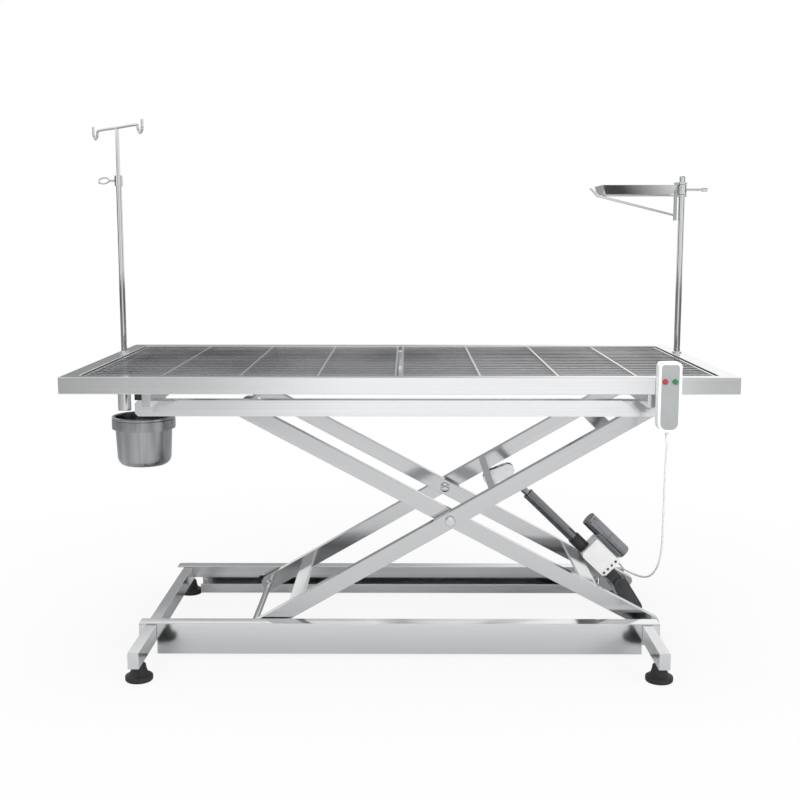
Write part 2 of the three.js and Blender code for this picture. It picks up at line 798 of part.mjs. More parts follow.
const tubeSolid = rodX(ACT_TUBE_R, ACT_TUBE_BACK, ACT_TUBE_FRONT, 0, 0, 16).subtract(
  rodX(boreR(ACT_BORE_R, 0), ACT_BORE_BACK, ACT_TUBE_FRONT + 1, 0, 0, 16),
);
node("actuator_tube", "steel", placeActuator(tubeSolid));

const sleeve = rodX(ACT_SLEEVE_R, ACT_HOUSE_FRONT + RUN_CLEAR, ACT_SLEEVE_FRONT, 0, 0, 16).subtract(
  rodX(boreR(ACT_TUBE_R, RUN_CLEAR), ACT_HOUSE_FRONT - 1, ACT_SLEEVE_FRONT + 1, 0, 0, 16),
);
node("tube_sleeve", "dark", placeActuator(sleeve));

const rearEye = join(
  rodY(ACT_EYE_R, -ACT_EYE_WIDTH / 2, ACT_EYE_WIDTH / 2, 0, 0, 20),
  box(
    0,
    ACT_HOUSE_BACK - RUN_CLEAR,
    -ACT_EYE_WIDTH / 2,
    ACT_EYE_WIDTH / 2,
    -ACT_EYE_R,
    ACT_EYE_R,
  ),
).subtract(rodY(boreR(ACT_PIN_R, RUN_CLEAR), -ACT_EYE_WIDTH, ACT_EYE_WIDTH, 0, 0));
node("rear_eye", "dark", placeActuator(rearEye));

const rodEye = join(
  rodX(ACT_ROD_R, ACT_ROD_BACK, ACT_REACH, 0, 0, 16),
  rodY(ROD_EYE_R, -ROD_EYE_WIDTH / 2, ROD_EYE_WIDTH / 2, ACT_REACH, 0, 32),
).subtract(
  join(
    rodY(boreR(ROD_PIN_R + ROD_EYE_PLAY, 0, 32), -20, 20, ACT_REACH, 0, 32),
    box(ACT_REACH - ROD_EYE_R - 6, ACT_REACH + 20, -20, -ROD_EYE_WIDTH / 2, -20, 20),
    box(ACT_REACH - ROD_EYE_R - 6, ACT_REACH + 20, ROD_EYE_WIDTH / 2, 20, -20, 20),
  ),
);
node("actuator_rod", "steel", placeActuator(rodEye));

// Rear bracket: two cheeks clamped on the lower shaft, with the rear pin through them.
const CHEEK_IN = ACT_EYE_WIDTH / 2 + ACT_EAR_CLEAR;
const CHEEK_OUT = CHEEK_IN + ACT_EAR_THICK;

function hullOutline(x0, z0, r0, x1, z1, r1, count = 8) {
  const angle = Math.atan2(z1 - z0, x1 - x0);
  const span = Math.hypot(x1 - x0, z1 - z0);
  const lean = Math.acos((r0 - r1) / span);
  const outline = [];
  for (let i = 0; i <= count; i++) {
    const a = angle + lean + ((2 * Math.PI - 2 * lean) * i) / count;
    outline.push([x0 + r0 * Math.cos(a), z0 + r0 * Math.sin(a)]);
  }
  for (let i = 0; i <= count; i++) {
    const a = angle - lean + (2 * lean * i) / count;
    outline.push([x1 + r1 * Math.cos(a), z1 + r1 * Math.sin(a)]);
  }
  return outline;
}

const cheek = hullOutline(PIVOT_X, BASE_AXIS_Z, BASE_BOSS_R - 2, REAR_X, REAR_Z, ACT_EAR_R);
const rearBracket = join(
  plateXZ(cheek, -CHEEK_OUT, -CHEEK_IN),
  plateXZ(cheek, CHEEK_IN, CHEEK_OUT),
  rodY(BASE_BOSS_R - 4, -CHEEK_OUT, CHEEK_OUT, PIVOT_X, BASE_AXIS_Z),
  rodY(ACT_PIN_R, -CHEEK_OUT - 2, CHEEK_OUT + 2, REAR_X, REAR_Z),
).subtract(rodY(boreR(SHAFT_R, RUN_CLEAR), -60, 60, PIVOT_X, BASE_AXIS_Z));
node("actuator_bracket", "dark", rearBracket);

// Front clevis: a bar across between the outer arms, two ears and the front pin.
const EAR_IN = ROD_EYE_WIDTH / 2 + ACT_EAR_CLEAR;
const EAR_OUT = EAR_IN + ROD_EAR_THICK;
const barHalf = CLEVIS_BAR_THICK / 2;
const barDeep = CLEVIS_BAR_DEPTH / 2;
const barOutline = [
  [CLEVIS_BAR_S - barHalf, -barDeep],
  [CLEVIS_BAR_S + barHalf, -barDeep],
  [CLEVIS_BAR_S + barHalf, barDeep],
  [CLEVIS_BAR_S - barHalf, barDeep],
].map(([s, t]) => onArm(OUTER_ANGLE, s, t));
const [earX, earZ] = onArm(OUTER_ANGLE, CLEVIS_BAR_S, 0);
const ear = hullOutline(earX, earZ, barDeep - 1, FRONT_X, FRONT_Z, ROD_EAR_R);
const clevis = join(
  plateXZ(barOutline, -OUTER_ARM_IN, OUTER_ARM_IN),
  plateXZ(ear, -EAR_OUT, -EAR_IN),
  plateXZ(ear, EAR_IN, EAR_OUT),
  rodY(ROD_PIN_R, -EAR_OUT - 2, EAR_OUT + 2, FRONT_X, FRONT_Z),
);
node("outer_plate_clevis", "steel", clevis);

// Upper rails, each with its arm pin
function upperRail(side) {
  const yIn = side * UPPER_RAIL_IN;
  const yOut = side * UPPER_RAIL_OUT;
  const lo = Math.min(yIn, yOut);
  const hi = Math.max(yIn, yOut);
  const c = UPPER_CHAMFER;
  const outline = [
    [UPPER_RAIL_LEFT + c, UPPER_RAIL_BOTTOM],
    [UPPER_RAIL_RIGHT - c, UPPER_RAIL_BOTTOM],
    [UPPER_RAIL_RIGHT, UPPER_RAIL_BOTTOM + c],
    [UPPER_RAIL_RIGHT, UPPER_RAIL_TOP - c],
    [UPPER_RAIL_RIGHT - c, UPPER_RAIL_TOP],
    [UPPER_RAIL_LEFT + c, UPPER_RAIL_TOP],
    [UPPER_RAIL_LEFT, UPPER_RAIL_TOP - c],
    [UPPER_RAIL_LEFT, UPPER_RAIL_BOTTOM + c],
  ];
  const mouth = side > 0 ? [lo - 1, lo + RAIL_WALL + 1] : [hi - RAIL_WALL - 1, hi + 1];
  const endWall = UPPER_CHAMFER + RAIL_WALL;
  const rail = plateXZ(outline, lo, hi)
    .subtract(
      box(
        UPPER_RAIL_LEFT + endWall,
        UPPER_RAIL_RIGHT - endWall,
        lo + RAIL_WALL,
        hi - RAIL_WALL,
        UPPER_RAIL_BOTTOM + RAIL_WALL,
        UPPER_RAIL_TOP - RAIL_WALL,
      ),
    )
    .subtract(
      box(
        UPPER_RAIL_LEFT + endWall,
        UPPER_RAIL_RIGHT - endWall,
        mouth[0],
        mouth[1],
        TOP_AXIS_Z - UPPER_SLOT / 2,
        TOP_AXIS_Z + UPPER_SLOT / 2,
      ),
    );
  const pinIn = side * (OUTER_ARM_IN - RAIL_WALL);
  const pinOut = side * (UPPER_RAIL_OUT - RAIL_WALL / 2);
  const headIn = side * (OUTER_ARM_IN - RUN_CLEAR * 4 - RAIL_WALL);
  const headOut = side * (OUTER_ARM_IN - RUN_CLEAR * 4);
  return join(
    rail,
    rodY(AXLE_R, Math.min(pinIn, pinOut), Math.max(pinIn, pinOut), PIVOT_X, TOP_AXIS_Z),
    rodY(BOLT_HEAD_R, Math.min(headIn, headOut), Math.max(headIn, headOut), PIVOT_X, TOP_AXIS_Z),
  );
}

node("upper_rail_front", "steel", upperRail(-1));
node("upper_rail_back", "steel", upperRail(1));

// Beams across, with a tab and a gusset on each rail's outer face
function beam(side) {
  const x0 = side * BEAM_X - BEAM_WIDTH / 2;
  const x1 = side * BEAM_X + BEAM_WIDTH / 2;
  let solid = box(x0, x1, -BEAM_REACH, BEAM_REACH, UPPER_RAIL_TOP, RIM_BOTTOM);
  const inner = side < 0 ? x1 : x0;
  const tip = inner - side * GUSSET_LENGTH;
  for (const row of [-1, 1]) {
    const y0 = Math.min(row * UPPER_RAIL_OUT, row * (UPPER_RAIL_OUT + TAB_THICK));
    const y1 = y0 + TAB_THICK;
    solid = solid.add(box(x0, x1, y0, y1, UPPER_RAIL_TOP - TAB_DROP, UPPER_RAIL_TOP + 1));
    const bite = side * RAIL_WALL;
    solid = solid.add(
      plateXZ(
        [
          [inner + bite, UPPER_RAIL_TOP],
          [tip, UPPER_RAIL_TOP],
          [inner + bite, UPPER_RAIL_TOP - GUSSET_DROP],
        ],
        y0,
        y1,
      ),
    );
  }
  return solid;
}

node("cross_beam_left", "steel", beam(-1));
node("cross_beam_right", "steel", beam(1));

function railBlock(row) {
  const y0 = Math.min(row * UPPER_RAIL_IN, row * UPPER_RAIL_OUT);
  const x0 = UPPER_RAIL_LEFT;
  return box(x0, x0 + BLOCK_LENGTH, y0, y0 + UPPER_RAIL_DEPTH, UPPER_RAIL_TOP, RIM_BOTTOM);
}

node("rail_block_front", "dark", railBlock(-1));
node("rail_block_back", "dark", railBlock(1));

// Rim: a folded channel all round, open below, with a ledge inside for pan and grates
const rimX = TOP_LENGTH / 2;
const rimY = TOP_WIDTH / 2;
const rimOutside = box(-rimX, rimX, -rimY, rimY, RIM_BOTTOM, TOP_Z);
const rimWell = box(-WELL_X, WELL_X, -WELL_Y, WELL_Y, RIM_BOTTOM - 1, TOP_Z + 1);
const grooveOuter = box(
  -rimX + RIM_WALL,
  rimX - RIM_WALL,
  -rimY + RIM_WALL,
  rimY - RIM_WALL,
  RIM_BOTTOM - 1,
  TOP_Z - RIM_WALL,
);
const grooveInner = box(
  -WELL_X - RIM_WALL,
  WELL_X + RIM_WALL,
  -WELL_Y - RIM_WALL,
  WELL_Y + RIM_WALL,
  RIM_BOTTOM - 2,
  TOP_Z,
);
const ledge = box(-WELL_X - 1, WELL_X + 1, -WELL_Y - 1, WELL_Y + 1, LEDGE_BOTTOM, LEDGE_TOP).subtract(
  box(
    -WELL_X + LEDGE_WIDTH,
    WELL_X - LEDGE_WIDTH,
    -WELL_Y + LEDGE_WIDTH,
    WELL_Y - LEDGE_WIDTH,
    LEDGE_BOTTOM - 1,
    LEDGE_TOP + 1,
  ),
);
node(
  "top_frame",
  "steel",
  rimOutside.subtract(rimWell).subtract(grooveOuter.subtract(grooveInner)).add(ledge),
);

// Drain pan under the grates, with its outlet pipe
const pan = box(-WELL_X, WELL_X, -WELL_Y, WELL_Y, RIM_BOTTOM, LEDGE_BOTTOM)
  .subtract(
    box(
      -WELL_X + PAN_WALL,
      WELL_X - PAN_WALL,
      -WELL_Y + PAN_WALL,
      WELL_Y - PAN_WALL,
      RIM_BOTTOM + PAN_WALL,
      LEDGE_BOTTOM + 1,
    ),
  )
  .add(rodZ(DRAIN_PIPE_R, RIM_BOTTOM - DRAIN_LENGTH, RIM_BOTTOM + PAN_WALL / 2, DRAIN_X, DRAIN_Y, 20))
  .subtract(
    rodZ(
      DRAIN_BORE_R,
      RIM_BOTTOM - DRAIN_LENGTH - 1,
      RIM_BOTTOM + PAN_WALL + 1,
      DRAIN_X,
      DRAIN_Y,
      20,
    ),
  );
node("drain_pan", "steel", pan);

// Two grates of rods lie on the ledge and meet in the middle.
function grate(side) {
  const xNear = GRATE_GAP;
  const xFar = WELL_X - GRATE_GAP;
  const x0 = side < 0 ? -xFar : xNear;
  const x1 = side < 0 ? -xNear : xFar;
  const yEdge = WELL_Y - GRATE_GAP;
  const crossTop = LEDGE_TOP + GRATE_CROSS;
  const rodLow = crossTop - GRATE_WELD;
  const barTop = rodLow + GRATE_ROD + GRATE_CROSS_PROUD;
  let solid = null;
  for (let i = 0; i <= GRATE_BAYS; i++) {
    const x = x0 + ((x1 - x0 - GRATE_CROSS) * i) / GRATE_BAYS;
    const bar = box(x, x + GRATE_CROSS, -yEdge, yEdge, LEDGE_TOP, barTop);
    solid = solid ? solid.add(bar) : bar;
  }
  for (let i = 0; i < GRATE_RODS; i++) {
    const y = -yEdge + ((2 * yEdge - GRATE_ROD) * i) / (GRATE_RODS - 1);
    solid = solid.add(box(x0, x1, y, y + GRATE_ROD, rodLow, rodLow + GRATE_ROD));
  }
  return solid;
}

node("grate_left", "steel", grate(-1));
node("grate_right", "steel", grate(1));

// Pail in a ring that hangs from the pan
const PAIL_TOP = RIM_BOTTOM - PAIL_RIM_DROP;
const PAIL_BOTTOM = PAIL_TOP - PAIL_HEIGHT;
const RING_TOP = PAIL_TOP - PAIL_BEAD;
const RING_BORE_R = (PAIL_R + RING_CLEAR) / Math.cos(Math.PI / 32);
node(
  "pail",
  "steel",
  lathe(
    [
      [0, PAIL_BOTTOM],
      [PAIL_FOOT_R * 0.72, PAIL_BOTTOM],
      [PAIL_FOOT_R * 0.94, PAIL_BOTTOM + 5],
      [PAIL_FOOT_R + 2.5, PAIL_BOTTOM + 16],
      [PAIL_R, RING_TOP],
      [PAIL_RIM_R, RING_TOP],
      [PAIL_RIM_R, PAIL_TOP],
      [PAIL_R - PAIL_WALL, PAIL_TOP],
      [PAIL_R - PAIL_WALL, RING_TOP],
      [PAIL_FOOT_R + 2.5 - PAIL_WALL, PAIL_BOTTOM + 16],
      [PAIL_FOOT_R * 0.94 - PAIL_WALL, PAIL_BOTTOM + 5 + PAIL_WALL],
      [PAIL_FOOT_R * 0.72, PAIL_BOTTOM + PAIL_WALL],
      [0, PAIL_BOTTOM + PAIL_WALL],
    ],
    PAIL_X,
    PAIL_Y,
    32,
  ),
);

const strapX = PAIL_X + STRAP_DX;
const strapY = PAIL_Y + Math.sqrt(PAIL_RIM_R ** 2 - (STRAP_DX - STRAP_WIDTH / 2) ** 2);
const ringBand = rodZ(PAIL_RIM_R, RING_TOP - RING_HEIGHT, RING_TOP, PAIL_X, PAIL_Y, 32);
const strap = box(
  strapX - STRAP_WIDTH / 2,
  strapX + STRAP_WIDTH / 2,
  strapY - STRAP_THICK * 4,
  strapY + STRAP_THICK,
  RING_TOP - RING_HEIGHT,
  RING_TOP,
);
const strapUp = box(
  strapX - STRAP_WIDTH / 2,
  strapX + STRAP_WIDTH / 2,
  strapY + RING_CLEAR,
  strapY + STRAP_THICK,
  RING_TOP - RING_HEIGHT,
  RIM_BOTTOM,
);
const ringHole = rodZ(RING_BORE_R, RING_TOP - RING_HEIGHT - 1, RING_TOP + 1, PAIL_X, PAIL_Y, 32);
node("pail_ring", "steel", ringBand.add(strap).subtract(ringHole).add(strapUp));

// Drip pole on the left rim
const IV_X = -rimX + POLE_INSET;
const IV_TOP = TOP_Z + IV_TUBE_LENGTH;
const IV_COLLAR_TOP = IV_TOP + IV_COLLAR_HEIGHT;
const IV_SCREW_Z = IV_TOP + IV_COLLAR_HEIGHT / 2;
const ivTube = rodZ(IV_TUBE_R, TOP_Z, IV_TOP + 1, IV_X, POLE_Y, 20)
  .add(rodZ(IV_COLLAR_R, IV_TOP, IV_COLLAR_TOP, IV_X, POLE_Y, 24))
  .subtract(rodZ(boreR(IV_BORE_R, 0, 20), TOP_Z + IV_BORE_FLOOR, IV_COLLAR_TOP + 1, IV_X, POLE_Y, 20))
  .subtract(
    rodX(boreR(SCREW_R, SCREW_CLEAR, 16), IV_X - IV_COLLAR_R - 1, IV_X, POLE_Y, IV_SCREW_Z, 16),
  );
node("iv_tube", "steel", ivTube);

const ringX = IV_X - IV_COLLAR_R - SCREW_LENGTH - RING_MAJOR;
const ringEye = new THREE.TorusGeometry(RING_MAJOR, RING_MINOR, 8, 20);
ringEye.rotateX(RING_LEAN);
ringEye.translate(ringX, POLE_Y, IV_SCREW_Z);
node(
  "iv_thumbscrew",
  "steel",
  join(
    rodX(SCREW_R, ringX + RING_MAJOR - RING_MINOR / 2, IV_X - IV_BORE_R - 0.6, POLE_Y, IV_SCREW_Z, 16),
    solidFrom(ringEye),
  ),
);

const hookZ = IV_COLLAR_TOP + IV_ROD_SHOWN;
function hookPoint(w, z) {
  return [IV_X + w * Math.cos(HOOK_TURN), POLE_Y - w * Math.sin(HOOK_TURN), hookZ + z];
}
function hookHalf(side) {
  const outer = HOOK_REACH + HOOK_WIDTH;
  const mid = HOOK_REACH + HOOK_WIDTH / 2;
  return [
    [side * (HOOK_REACH - 12), 0],
    [side * (HOOK_REACH - 3), -1],
    [side * HOOK_REACH, -4],
    [side * (HOOK_REACH + 1), -HOOK_DROP],
    [side * mid, -HOOK_DROP - 7],
    [side * (outer - 1), -HOOK_DROP],
    [side * outer, 0],
    [side * outer, HOOK_TIP],
  ];
}
const hookPath = [
  ...hookHalf(-1).reverse(),
  [0, 0],
  ...hookHalf(1),
].map(([w, z]) => hookPoint(w, z));
node(
  "iv_rod",
  "steel",
  join(
    rodZ(IV_ROD_R, IV_TOP - IV_ROD_INSIDE, hookZ, IV_X, POLE_Y, 16),
    sweep(hookPath, HOOK_R, 44, 6),
  ),
);

// Tray stand on the right rim
const STAND_X = rimX - POLE_INSET;
const STAND_TOP = TOP_Z + STAND_LENGTH;
const CLAMP_BOTTOM = STAND_TOP - CLAMP_DROP;
const CLAMP_TOP = CLAMP_BOTTOM + CLAMP_HEIGHT;
const KNOB_Z = (CLAMP_BOTTOM + CLAMP_TOP) / 2;
node("tray_pole", "steel", rodZ(STAND_R, TOP_Z, STAND_TOP, STAND_X, POLE_Y, 20));
node(
  "tray_clamp",
  "steel",
  rodZ(CLAMP_R, CLAMP_BOTTOM, CLAMP_TOP, STAND_X, POLE_Y, 24)
    .subtract(
      rodZ(boreR(STAND_R, RUN_CLEAR, 20), CLAMP_BOTTOM - 1, CLAMP_TOP + 1, STAND_X, POLE_Y, 20),
    )
    .subtract(
      rodX(boreR(SCREW_R, SCREW_CLEAR, 16), STAND_X, STAND_X + CLAMP_R + 1, POLE_Y, KNOB_Z, 16),
    ),
);
node(
  "tray_knob",
  "steel",
  join(
    rodX(
      SCREW_R,
      STAND_X + STAND_R + 0.5,
      STAND_X + KNOB_STEM_END + 1,
      POLE_Y,
      KNOB_Z,
      16,
    ),
    rodX(KNOB_R, STAND_X + KNOB_STEM_END, STAND_X + KNOB_END, POLE_Y, KNOB_Z, 16),
  ),
);

// The tray arm turns on the pole, its two lugs above and below the clamp.
const LUG_LOW_TOP = CLAMP_BOTTOM - LUG_GAP;
const LUG_HIGH_BOTTOM = CLAMP_TOP + LUG_GAP;
const PLATE_RIGHT = STAND_X - ARM_PLATE_NEAR - LUG_GAP;
const PLATE_LEFT = PLATE_RIGHT - ARM_PLATE_THICK;
const PLATE_LOW = LUG_LOW_TOP - LUG_HEIGHT - ARM_PLATE_DROP;
const TRAY_SEAT = LUG_LOW_TOP;
function lug(z0) {
  return rodZ(LUG_R, z0, z0 + LUG_HEIGHT, STAND_X, POLE_Y, 24).add(
    box(
      PLATE_LEFT + 1,
      STAND_X - STAND_R - 1,
      POLE_Y - ARM_PLATE_WIDTH / 2,
      POLE_Y + ARM_PLATE_WIDTH / 2,
      z0,
      z0 + LUG_HEIGHT,
    ),
  );
}
const strutTipX = STAND_X - STRUT_TIP_REACH;
const strutLowZ = PLATE_LOW + STRUT_LOW_RISE;
const barLeft = STAND_X - TRAY_BAR_REACH;
const strutOutline = [
  [PLATE_RIGHT - 1, strutLowZ],
  [PLATE_RIGHT - 1, strutLowZ + STRUT_THICK],
  [barLeft + 2, TRAY_SEAT - TRAY_BAR_THICK + 0.5],
  [barLeft - 8, TRAY_SEAT - TRAY_BAR_THICK + 3],
  [strutTipX + STRUT_THICK, TRAY_SEAT + STRUT_TIP_RISE],
  [strutTipX, TRAY_SEAT + STRUT_TIP_RISE],
  [barLeft - 12, TRAY_SEAT - TRAY_BAR_THICK - 1],
  [barLeft, TRAY_SEAT - TRAY_BAR_THICK - STRUT_THICK],
];
const trayArm = join(
  lug(LUG_LOW_TOP - LUG_HEIGHT),
  lug(LUG_HIGH_BOTTOM),
  box(
    PLATE_LEFT,
    PLATE_RIGHT,
    POLE_Y - ARM_PLATE_WIDTH / 2,
    POLE_Y + ARM_PLATE_WIDTH / 2,
    PLATE_LOW,
    LUG_HIGH_BOTTOM + LUG_HEIGHT,
  ),
  box(
    barLeft,
    PLATE_LEFT + 1,
    POLE_Y - TRAY_BAR_WIDTH / 2,
    POLE_Y + TRAY_BAR_WIDTH / 2,
    TRAY_SEAT - TRAY_BAR_THICK,
    TRAY_SEAT,
  ),
  plateXZ(strutOutline, POLE_Y - STRUT_WIDTH / 2, POLE_Y + STRUT_WIDTH / 2),
).subtract(
  rodZ(boreR(STAND_R, RUN_CLEAR, 20), PLATE_LOW - 1, STAND_TOP + 10, STAND_X, POLE_Y, 20),
);
node("tray_arm", "steel", trayArm);

const trayRight = STAND_X - TRAY_NEAR;
const trayLeft = trayRight - TRAY_LENGTH;
const trayY0 = POLE_Y - TRAY_DEPTH / 2 + TRAY_FLARE;
const trayY1 = POLE_Y + TRAY_DEPTH / 2 - TRAY_FLARE;
const trayX0 = trayLeft + TRAY_FLARE;
const trayX1 = trayRight - TRAY_FLARE;
const trayTop = TRAY_SEAT + TRAY_HEIGHT;
node(
  "tray",
  "steel",
  frustum(trayX0, trayX1, trayY0, trayY1, TRAY_SEAT, trayTop, TRAY_FLARE).subtract(
    frustum(
      trayX0 + TRAY_WALL,
      trayX1 - TRAY_WALL,
      trayY0 + TRAY_WALL,
      trayY1 - TRAY_WALL,
      TRAY_SEAT + TRAY_WALL,
      trayTop + TRAY_WALL,
      TRAY_FLARE,
    ),
  ),
);

// Hand pendant on a holder at the front rim
const HOLDER_FACE = -rimY - HOLDER_THICK;
const PENDANT_BACK = HOLDER_FACE - HOLDER_CLEAR;
const PENDANT_FRONT = PENDANT_BACK - PENDANT_THICK;
const PENDANT_TOP = TOP_Z + PENDANT_RISE;
const PENDANT_BOTTOM = PENDANT_TOP - PENDANT_HEIGHT;
const LIP_TOP = TOP_Z - RIM_WALL * 2;
const LIP_BOTTOM = LIP_TOP - HOLDER_LIP_HEIGHT;

function pendantOutline(inset) {
  const left = PENDANT_X - PENDANT_WIDTH / 2 + inset;
  const right = PENDANT_X + PENDANT_WIDTH / 2 - inset;
  const top = PENDANT_TOP - inset;
  const bottom = PENDANT_BOTTOM + inset;
  const corners = [
    [right, bottom, PENDANT_FOOT_ROUND - inset, -90],
    [right, top, PENDANT_TOP_ROUND - inset * 0.5, 0],
    [left, top, PENDANT_TOP_ROUND - inset * 0.5, 90],
    [left, bottom, PENDANT_FOOT_ROUND - inset, 180],
  ];
  const outline = [];
  for (const [x, z, r, start] of corners) {
    const cx = x === right ? x - r : x + r;
    const cz = z === top ? z - r : z + r;
    for (let i = 0; i <= 5; i++) {
      const a = (start + 18 * i) * DEG;
      outline.push([cx + r * Math.cos(a), cz + r * Math.sin(a)]);
    }
  }
  return outline;
}

const buttonZ = PENDANT_TOP - BUTTON_DROP;
const buttonBack = PENDANT_FRONT + BUTTON_DEPTH;
const pocketBack = buttonBack + BUTTON_PLAY;
let pendantBody = plateXZ(pendantOutline(0), PENDANT_FRONT, PENDANT_BACK)
  .subtract(plateXZ(pendantOutline(PENDANT_BEZEL), PENDANT_FRONT - 1, PENDANT_FRONT + FACE_THICK))
  .subtract(
    box(
      PENDANT_X - HOLDER_LIP_WIDTH / 2 - 1,
      PENDANT_X + HOLDER_LIP_WIDTH / 2 + 1,
      HOLDER_FACE - HOLDER_LIP - 1,
      PENDANT_BACK + 1,
      LIP_TOP + HOLDER_CLEAR - HOLDER_SLOT,
      LIP_TOP + HOLDER_CLEAR,
    ),
  );
let pendantFace = plateXZ(
  pendantOutline(PENDANT_BEZEL + FACE_CLEAR),
  PENDANT_FRONT,
  PENDANT_FRONT + FACE_THICK - RUN_CLEAR,
);
for (const side of [-1, 1]) {
  const x = PENDANT_X + side * BUTTON_DX;
  const hole = boreR(BUTTON_R, BUTTON_CLEAR, 20);
  pendantBody = pendantBody.subtract(rodY(hole, PENDANT_FRONT - 1, pocketBack, x, buttonZ, 20));
  pendantFace = pendantFace.subtract(rodY(hole, PENDANT_FRONT - 1, pocketBack, x, buttonZ, 20));
}
const reliefY = (PENDANT_FRONT + PENDANT_BACK) / 2;
const RELIEF_TIP_Z = PENDANT_BOTTOM - RELIEF_LENGTH;
pendantBody = pendantBody.add(
  lathe(
    [
      [0, RELIEF_TIP_Z],
      [CORD_R + RELIEF_WALL, RELIEF_TIP_Z],
      [RELIEF_TOP_R, PENDANT_BOTTOM],
      [RELIEF_TOP_R, PENDANT_BOTTOM + 2],
      [0, PENDANT_BOTTOM + 2],
    ],
    PENDANT_X,
    reliefY,
    12,
  ),
);
node("pendant_body", "white", pendantBody);
node("pendant_face", "grey", pendantFace);
function button(side) {
  const x = PENDANT_X + side * BUTTON_DX;
  return rodY(BUTTON_R, PENDANT_FRONT - BUTTON_PROUD, buttonBack, x, buttonZ, 20);
}
node("button_red", "red", button(-1));
node("button_green", "green", button(1));
node(
  "pendant_holder",
  "steel",
  join(
    box(
      PENDANT_X - HOLDER_WIDTH / 2,
      PENDANT_X + HOLDER_WIDTH / 2,
      HOLDER_FACE,
      -rimY,
      RIM_BOTTOM + RIM_WALL,
      TOP_Z - RIM_WALL,
    ),
    box(
      PENDANT_X - HOLDER_LIP_WIDTH / 2,
      PENDANT_X + HOLDER_LIP_WIDTH / 2,
      HOLDER_FACE - HOLDER_LIP,
      HOLDER_FACE + HOLDER_THICK / 2,
      LIP_BOTTOM,
      LIP_TOP,
    ),
  ),
);

// Cord from the pendant's foot to the gear housing
function onActuator(u, n) {
  return [
    REAR_X - u * Math.cos(ACT_ANGLE) + n * Math.sin(ACT_ANGLE),
    REAR_Z + u * Math.sin(ACT_ANGLE) + n * Math.cos(ACT_ANGLE),
  ];
}
const CORD_N = ACT_HOUSE_HIGH - 6;
const [cordEndX, cordEndZ] = onActuator(ACT_HOUSE_BACK - CORD_END_GAP, CORD_N);
const [cordMidX, cordMidZ] = onActuator(ACT_HOUSE_BACK - CORD_BEND / 2, CORD_N);
const [cordOutX, cordOutZ] = onActuator(ACT_HOUSE_BACK - CORD_BEND, CORD_N);
const cordTop = RELIEF_TIP_Z - CORD_GAP;
const CORD_SEAM = [471.2, -306.5, 352];
const cordHigh = [
  [PENDANT_X, reliefY, cordTop],
  [PENDANT_X, reliefY, cordTop - 8],
  [470.2, -315, 408],
  [470.6, -311, 381],
  CORD_SEAM,
];
const cordLow = [
  [CORD_SEAM[0], CORD_SEAM[1], CORD_SEAM[2] - CORD_GAP],
  [472.4, -300, 312],
  [474, -292, 276],
  [475.4, -282, 243],
  [475.5, -263, 207],
  [474.6, -235, 181],
  [472.5, -185, 155],
  [468.5, -130, 139],
  [462.4, -80, 130],
  [457.4, -42, 125],
  [cordOutX + 3, -18, cordOutZ - 3.5],
  [cordOutX + 1, -6.5, cordOutZ - 1.5],
  [cordMidX, 0, cordMidZ],
  [cordEndX, 0, cordEndZ],
];
node("pendant_cord_high", "white", sweep(cordHigh, CORD_R, 10, 8));
node("pendant_cord_low", "white", sweep(cordLow, CORD_R, 46, 8));

group.position.set(FRAME_SHIFT_X, FRAME_SHIFT_Y, 0);

export default group;
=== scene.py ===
import json
import math

import bpy
from mathutils import Matrix, Vector


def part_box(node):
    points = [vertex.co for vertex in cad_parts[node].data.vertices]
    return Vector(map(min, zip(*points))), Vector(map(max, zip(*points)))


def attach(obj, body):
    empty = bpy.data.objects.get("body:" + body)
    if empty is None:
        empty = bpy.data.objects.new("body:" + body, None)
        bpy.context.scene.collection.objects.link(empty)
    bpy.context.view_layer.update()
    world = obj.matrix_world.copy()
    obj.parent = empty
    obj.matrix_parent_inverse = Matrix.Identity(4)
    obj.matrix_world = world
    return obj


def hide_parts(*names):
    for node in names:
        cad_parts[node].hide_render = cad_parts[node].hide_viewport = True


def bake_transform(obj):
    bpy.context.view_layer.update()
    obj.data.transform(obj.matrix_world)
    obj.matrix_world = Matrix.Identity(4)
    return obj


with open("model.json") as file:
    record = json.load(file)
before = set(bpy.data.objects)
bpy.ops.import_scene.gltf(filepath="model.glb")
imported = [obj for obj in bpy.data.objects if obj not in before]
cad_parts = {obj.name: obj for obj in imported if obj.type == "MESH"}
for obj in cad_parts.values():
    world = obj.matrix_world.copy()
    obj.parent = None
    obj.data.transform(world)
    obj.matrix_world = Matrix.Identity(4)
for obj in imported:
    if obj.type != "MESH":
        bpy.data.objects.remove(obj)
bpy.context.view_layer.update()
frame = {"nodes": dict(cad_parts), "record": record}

# Sizes are in metres, apart from the rings of turned pieces and the points on the table, which are
# in millimetres. The front of the table faces -Y, and the pendant's end is +X.
MM = 0.001
# The middle of the table top lies here, since the frame is centred on the whole object.
DEPTH_SHIFT = 0.028
SIDE_SHIFT = 0.011325
BASE_AXIS_Z = 0.0385
ROLL_X = -0.28686 + SIDE_SHIFT
ARM_TILT = math.radians(29.9)
INNER_TILT = math.radians(28.1)
ACTUATOR_TILT = math.radians(44.11)

# Points nearer than this are one point, and faces flatter than this are one face.
SAME_POINT = 0.002 * MM
SAME_PLANE = math.radians(0.5)
# Edges sharper than these stay crisp on rounded, turned and tubular pieces.
CRISP_ROUNDED = math.radians(35)
CRISP_TURNED = math.radians(32)
CRISP_TUBE = math.radians(50)

body_of_node = {}
for body_name, node_names in frame["record"]["behaviour"]["bodies"].items():
    for node_name in node_names:
        body_of_node[node_name] = body_name


# Materials


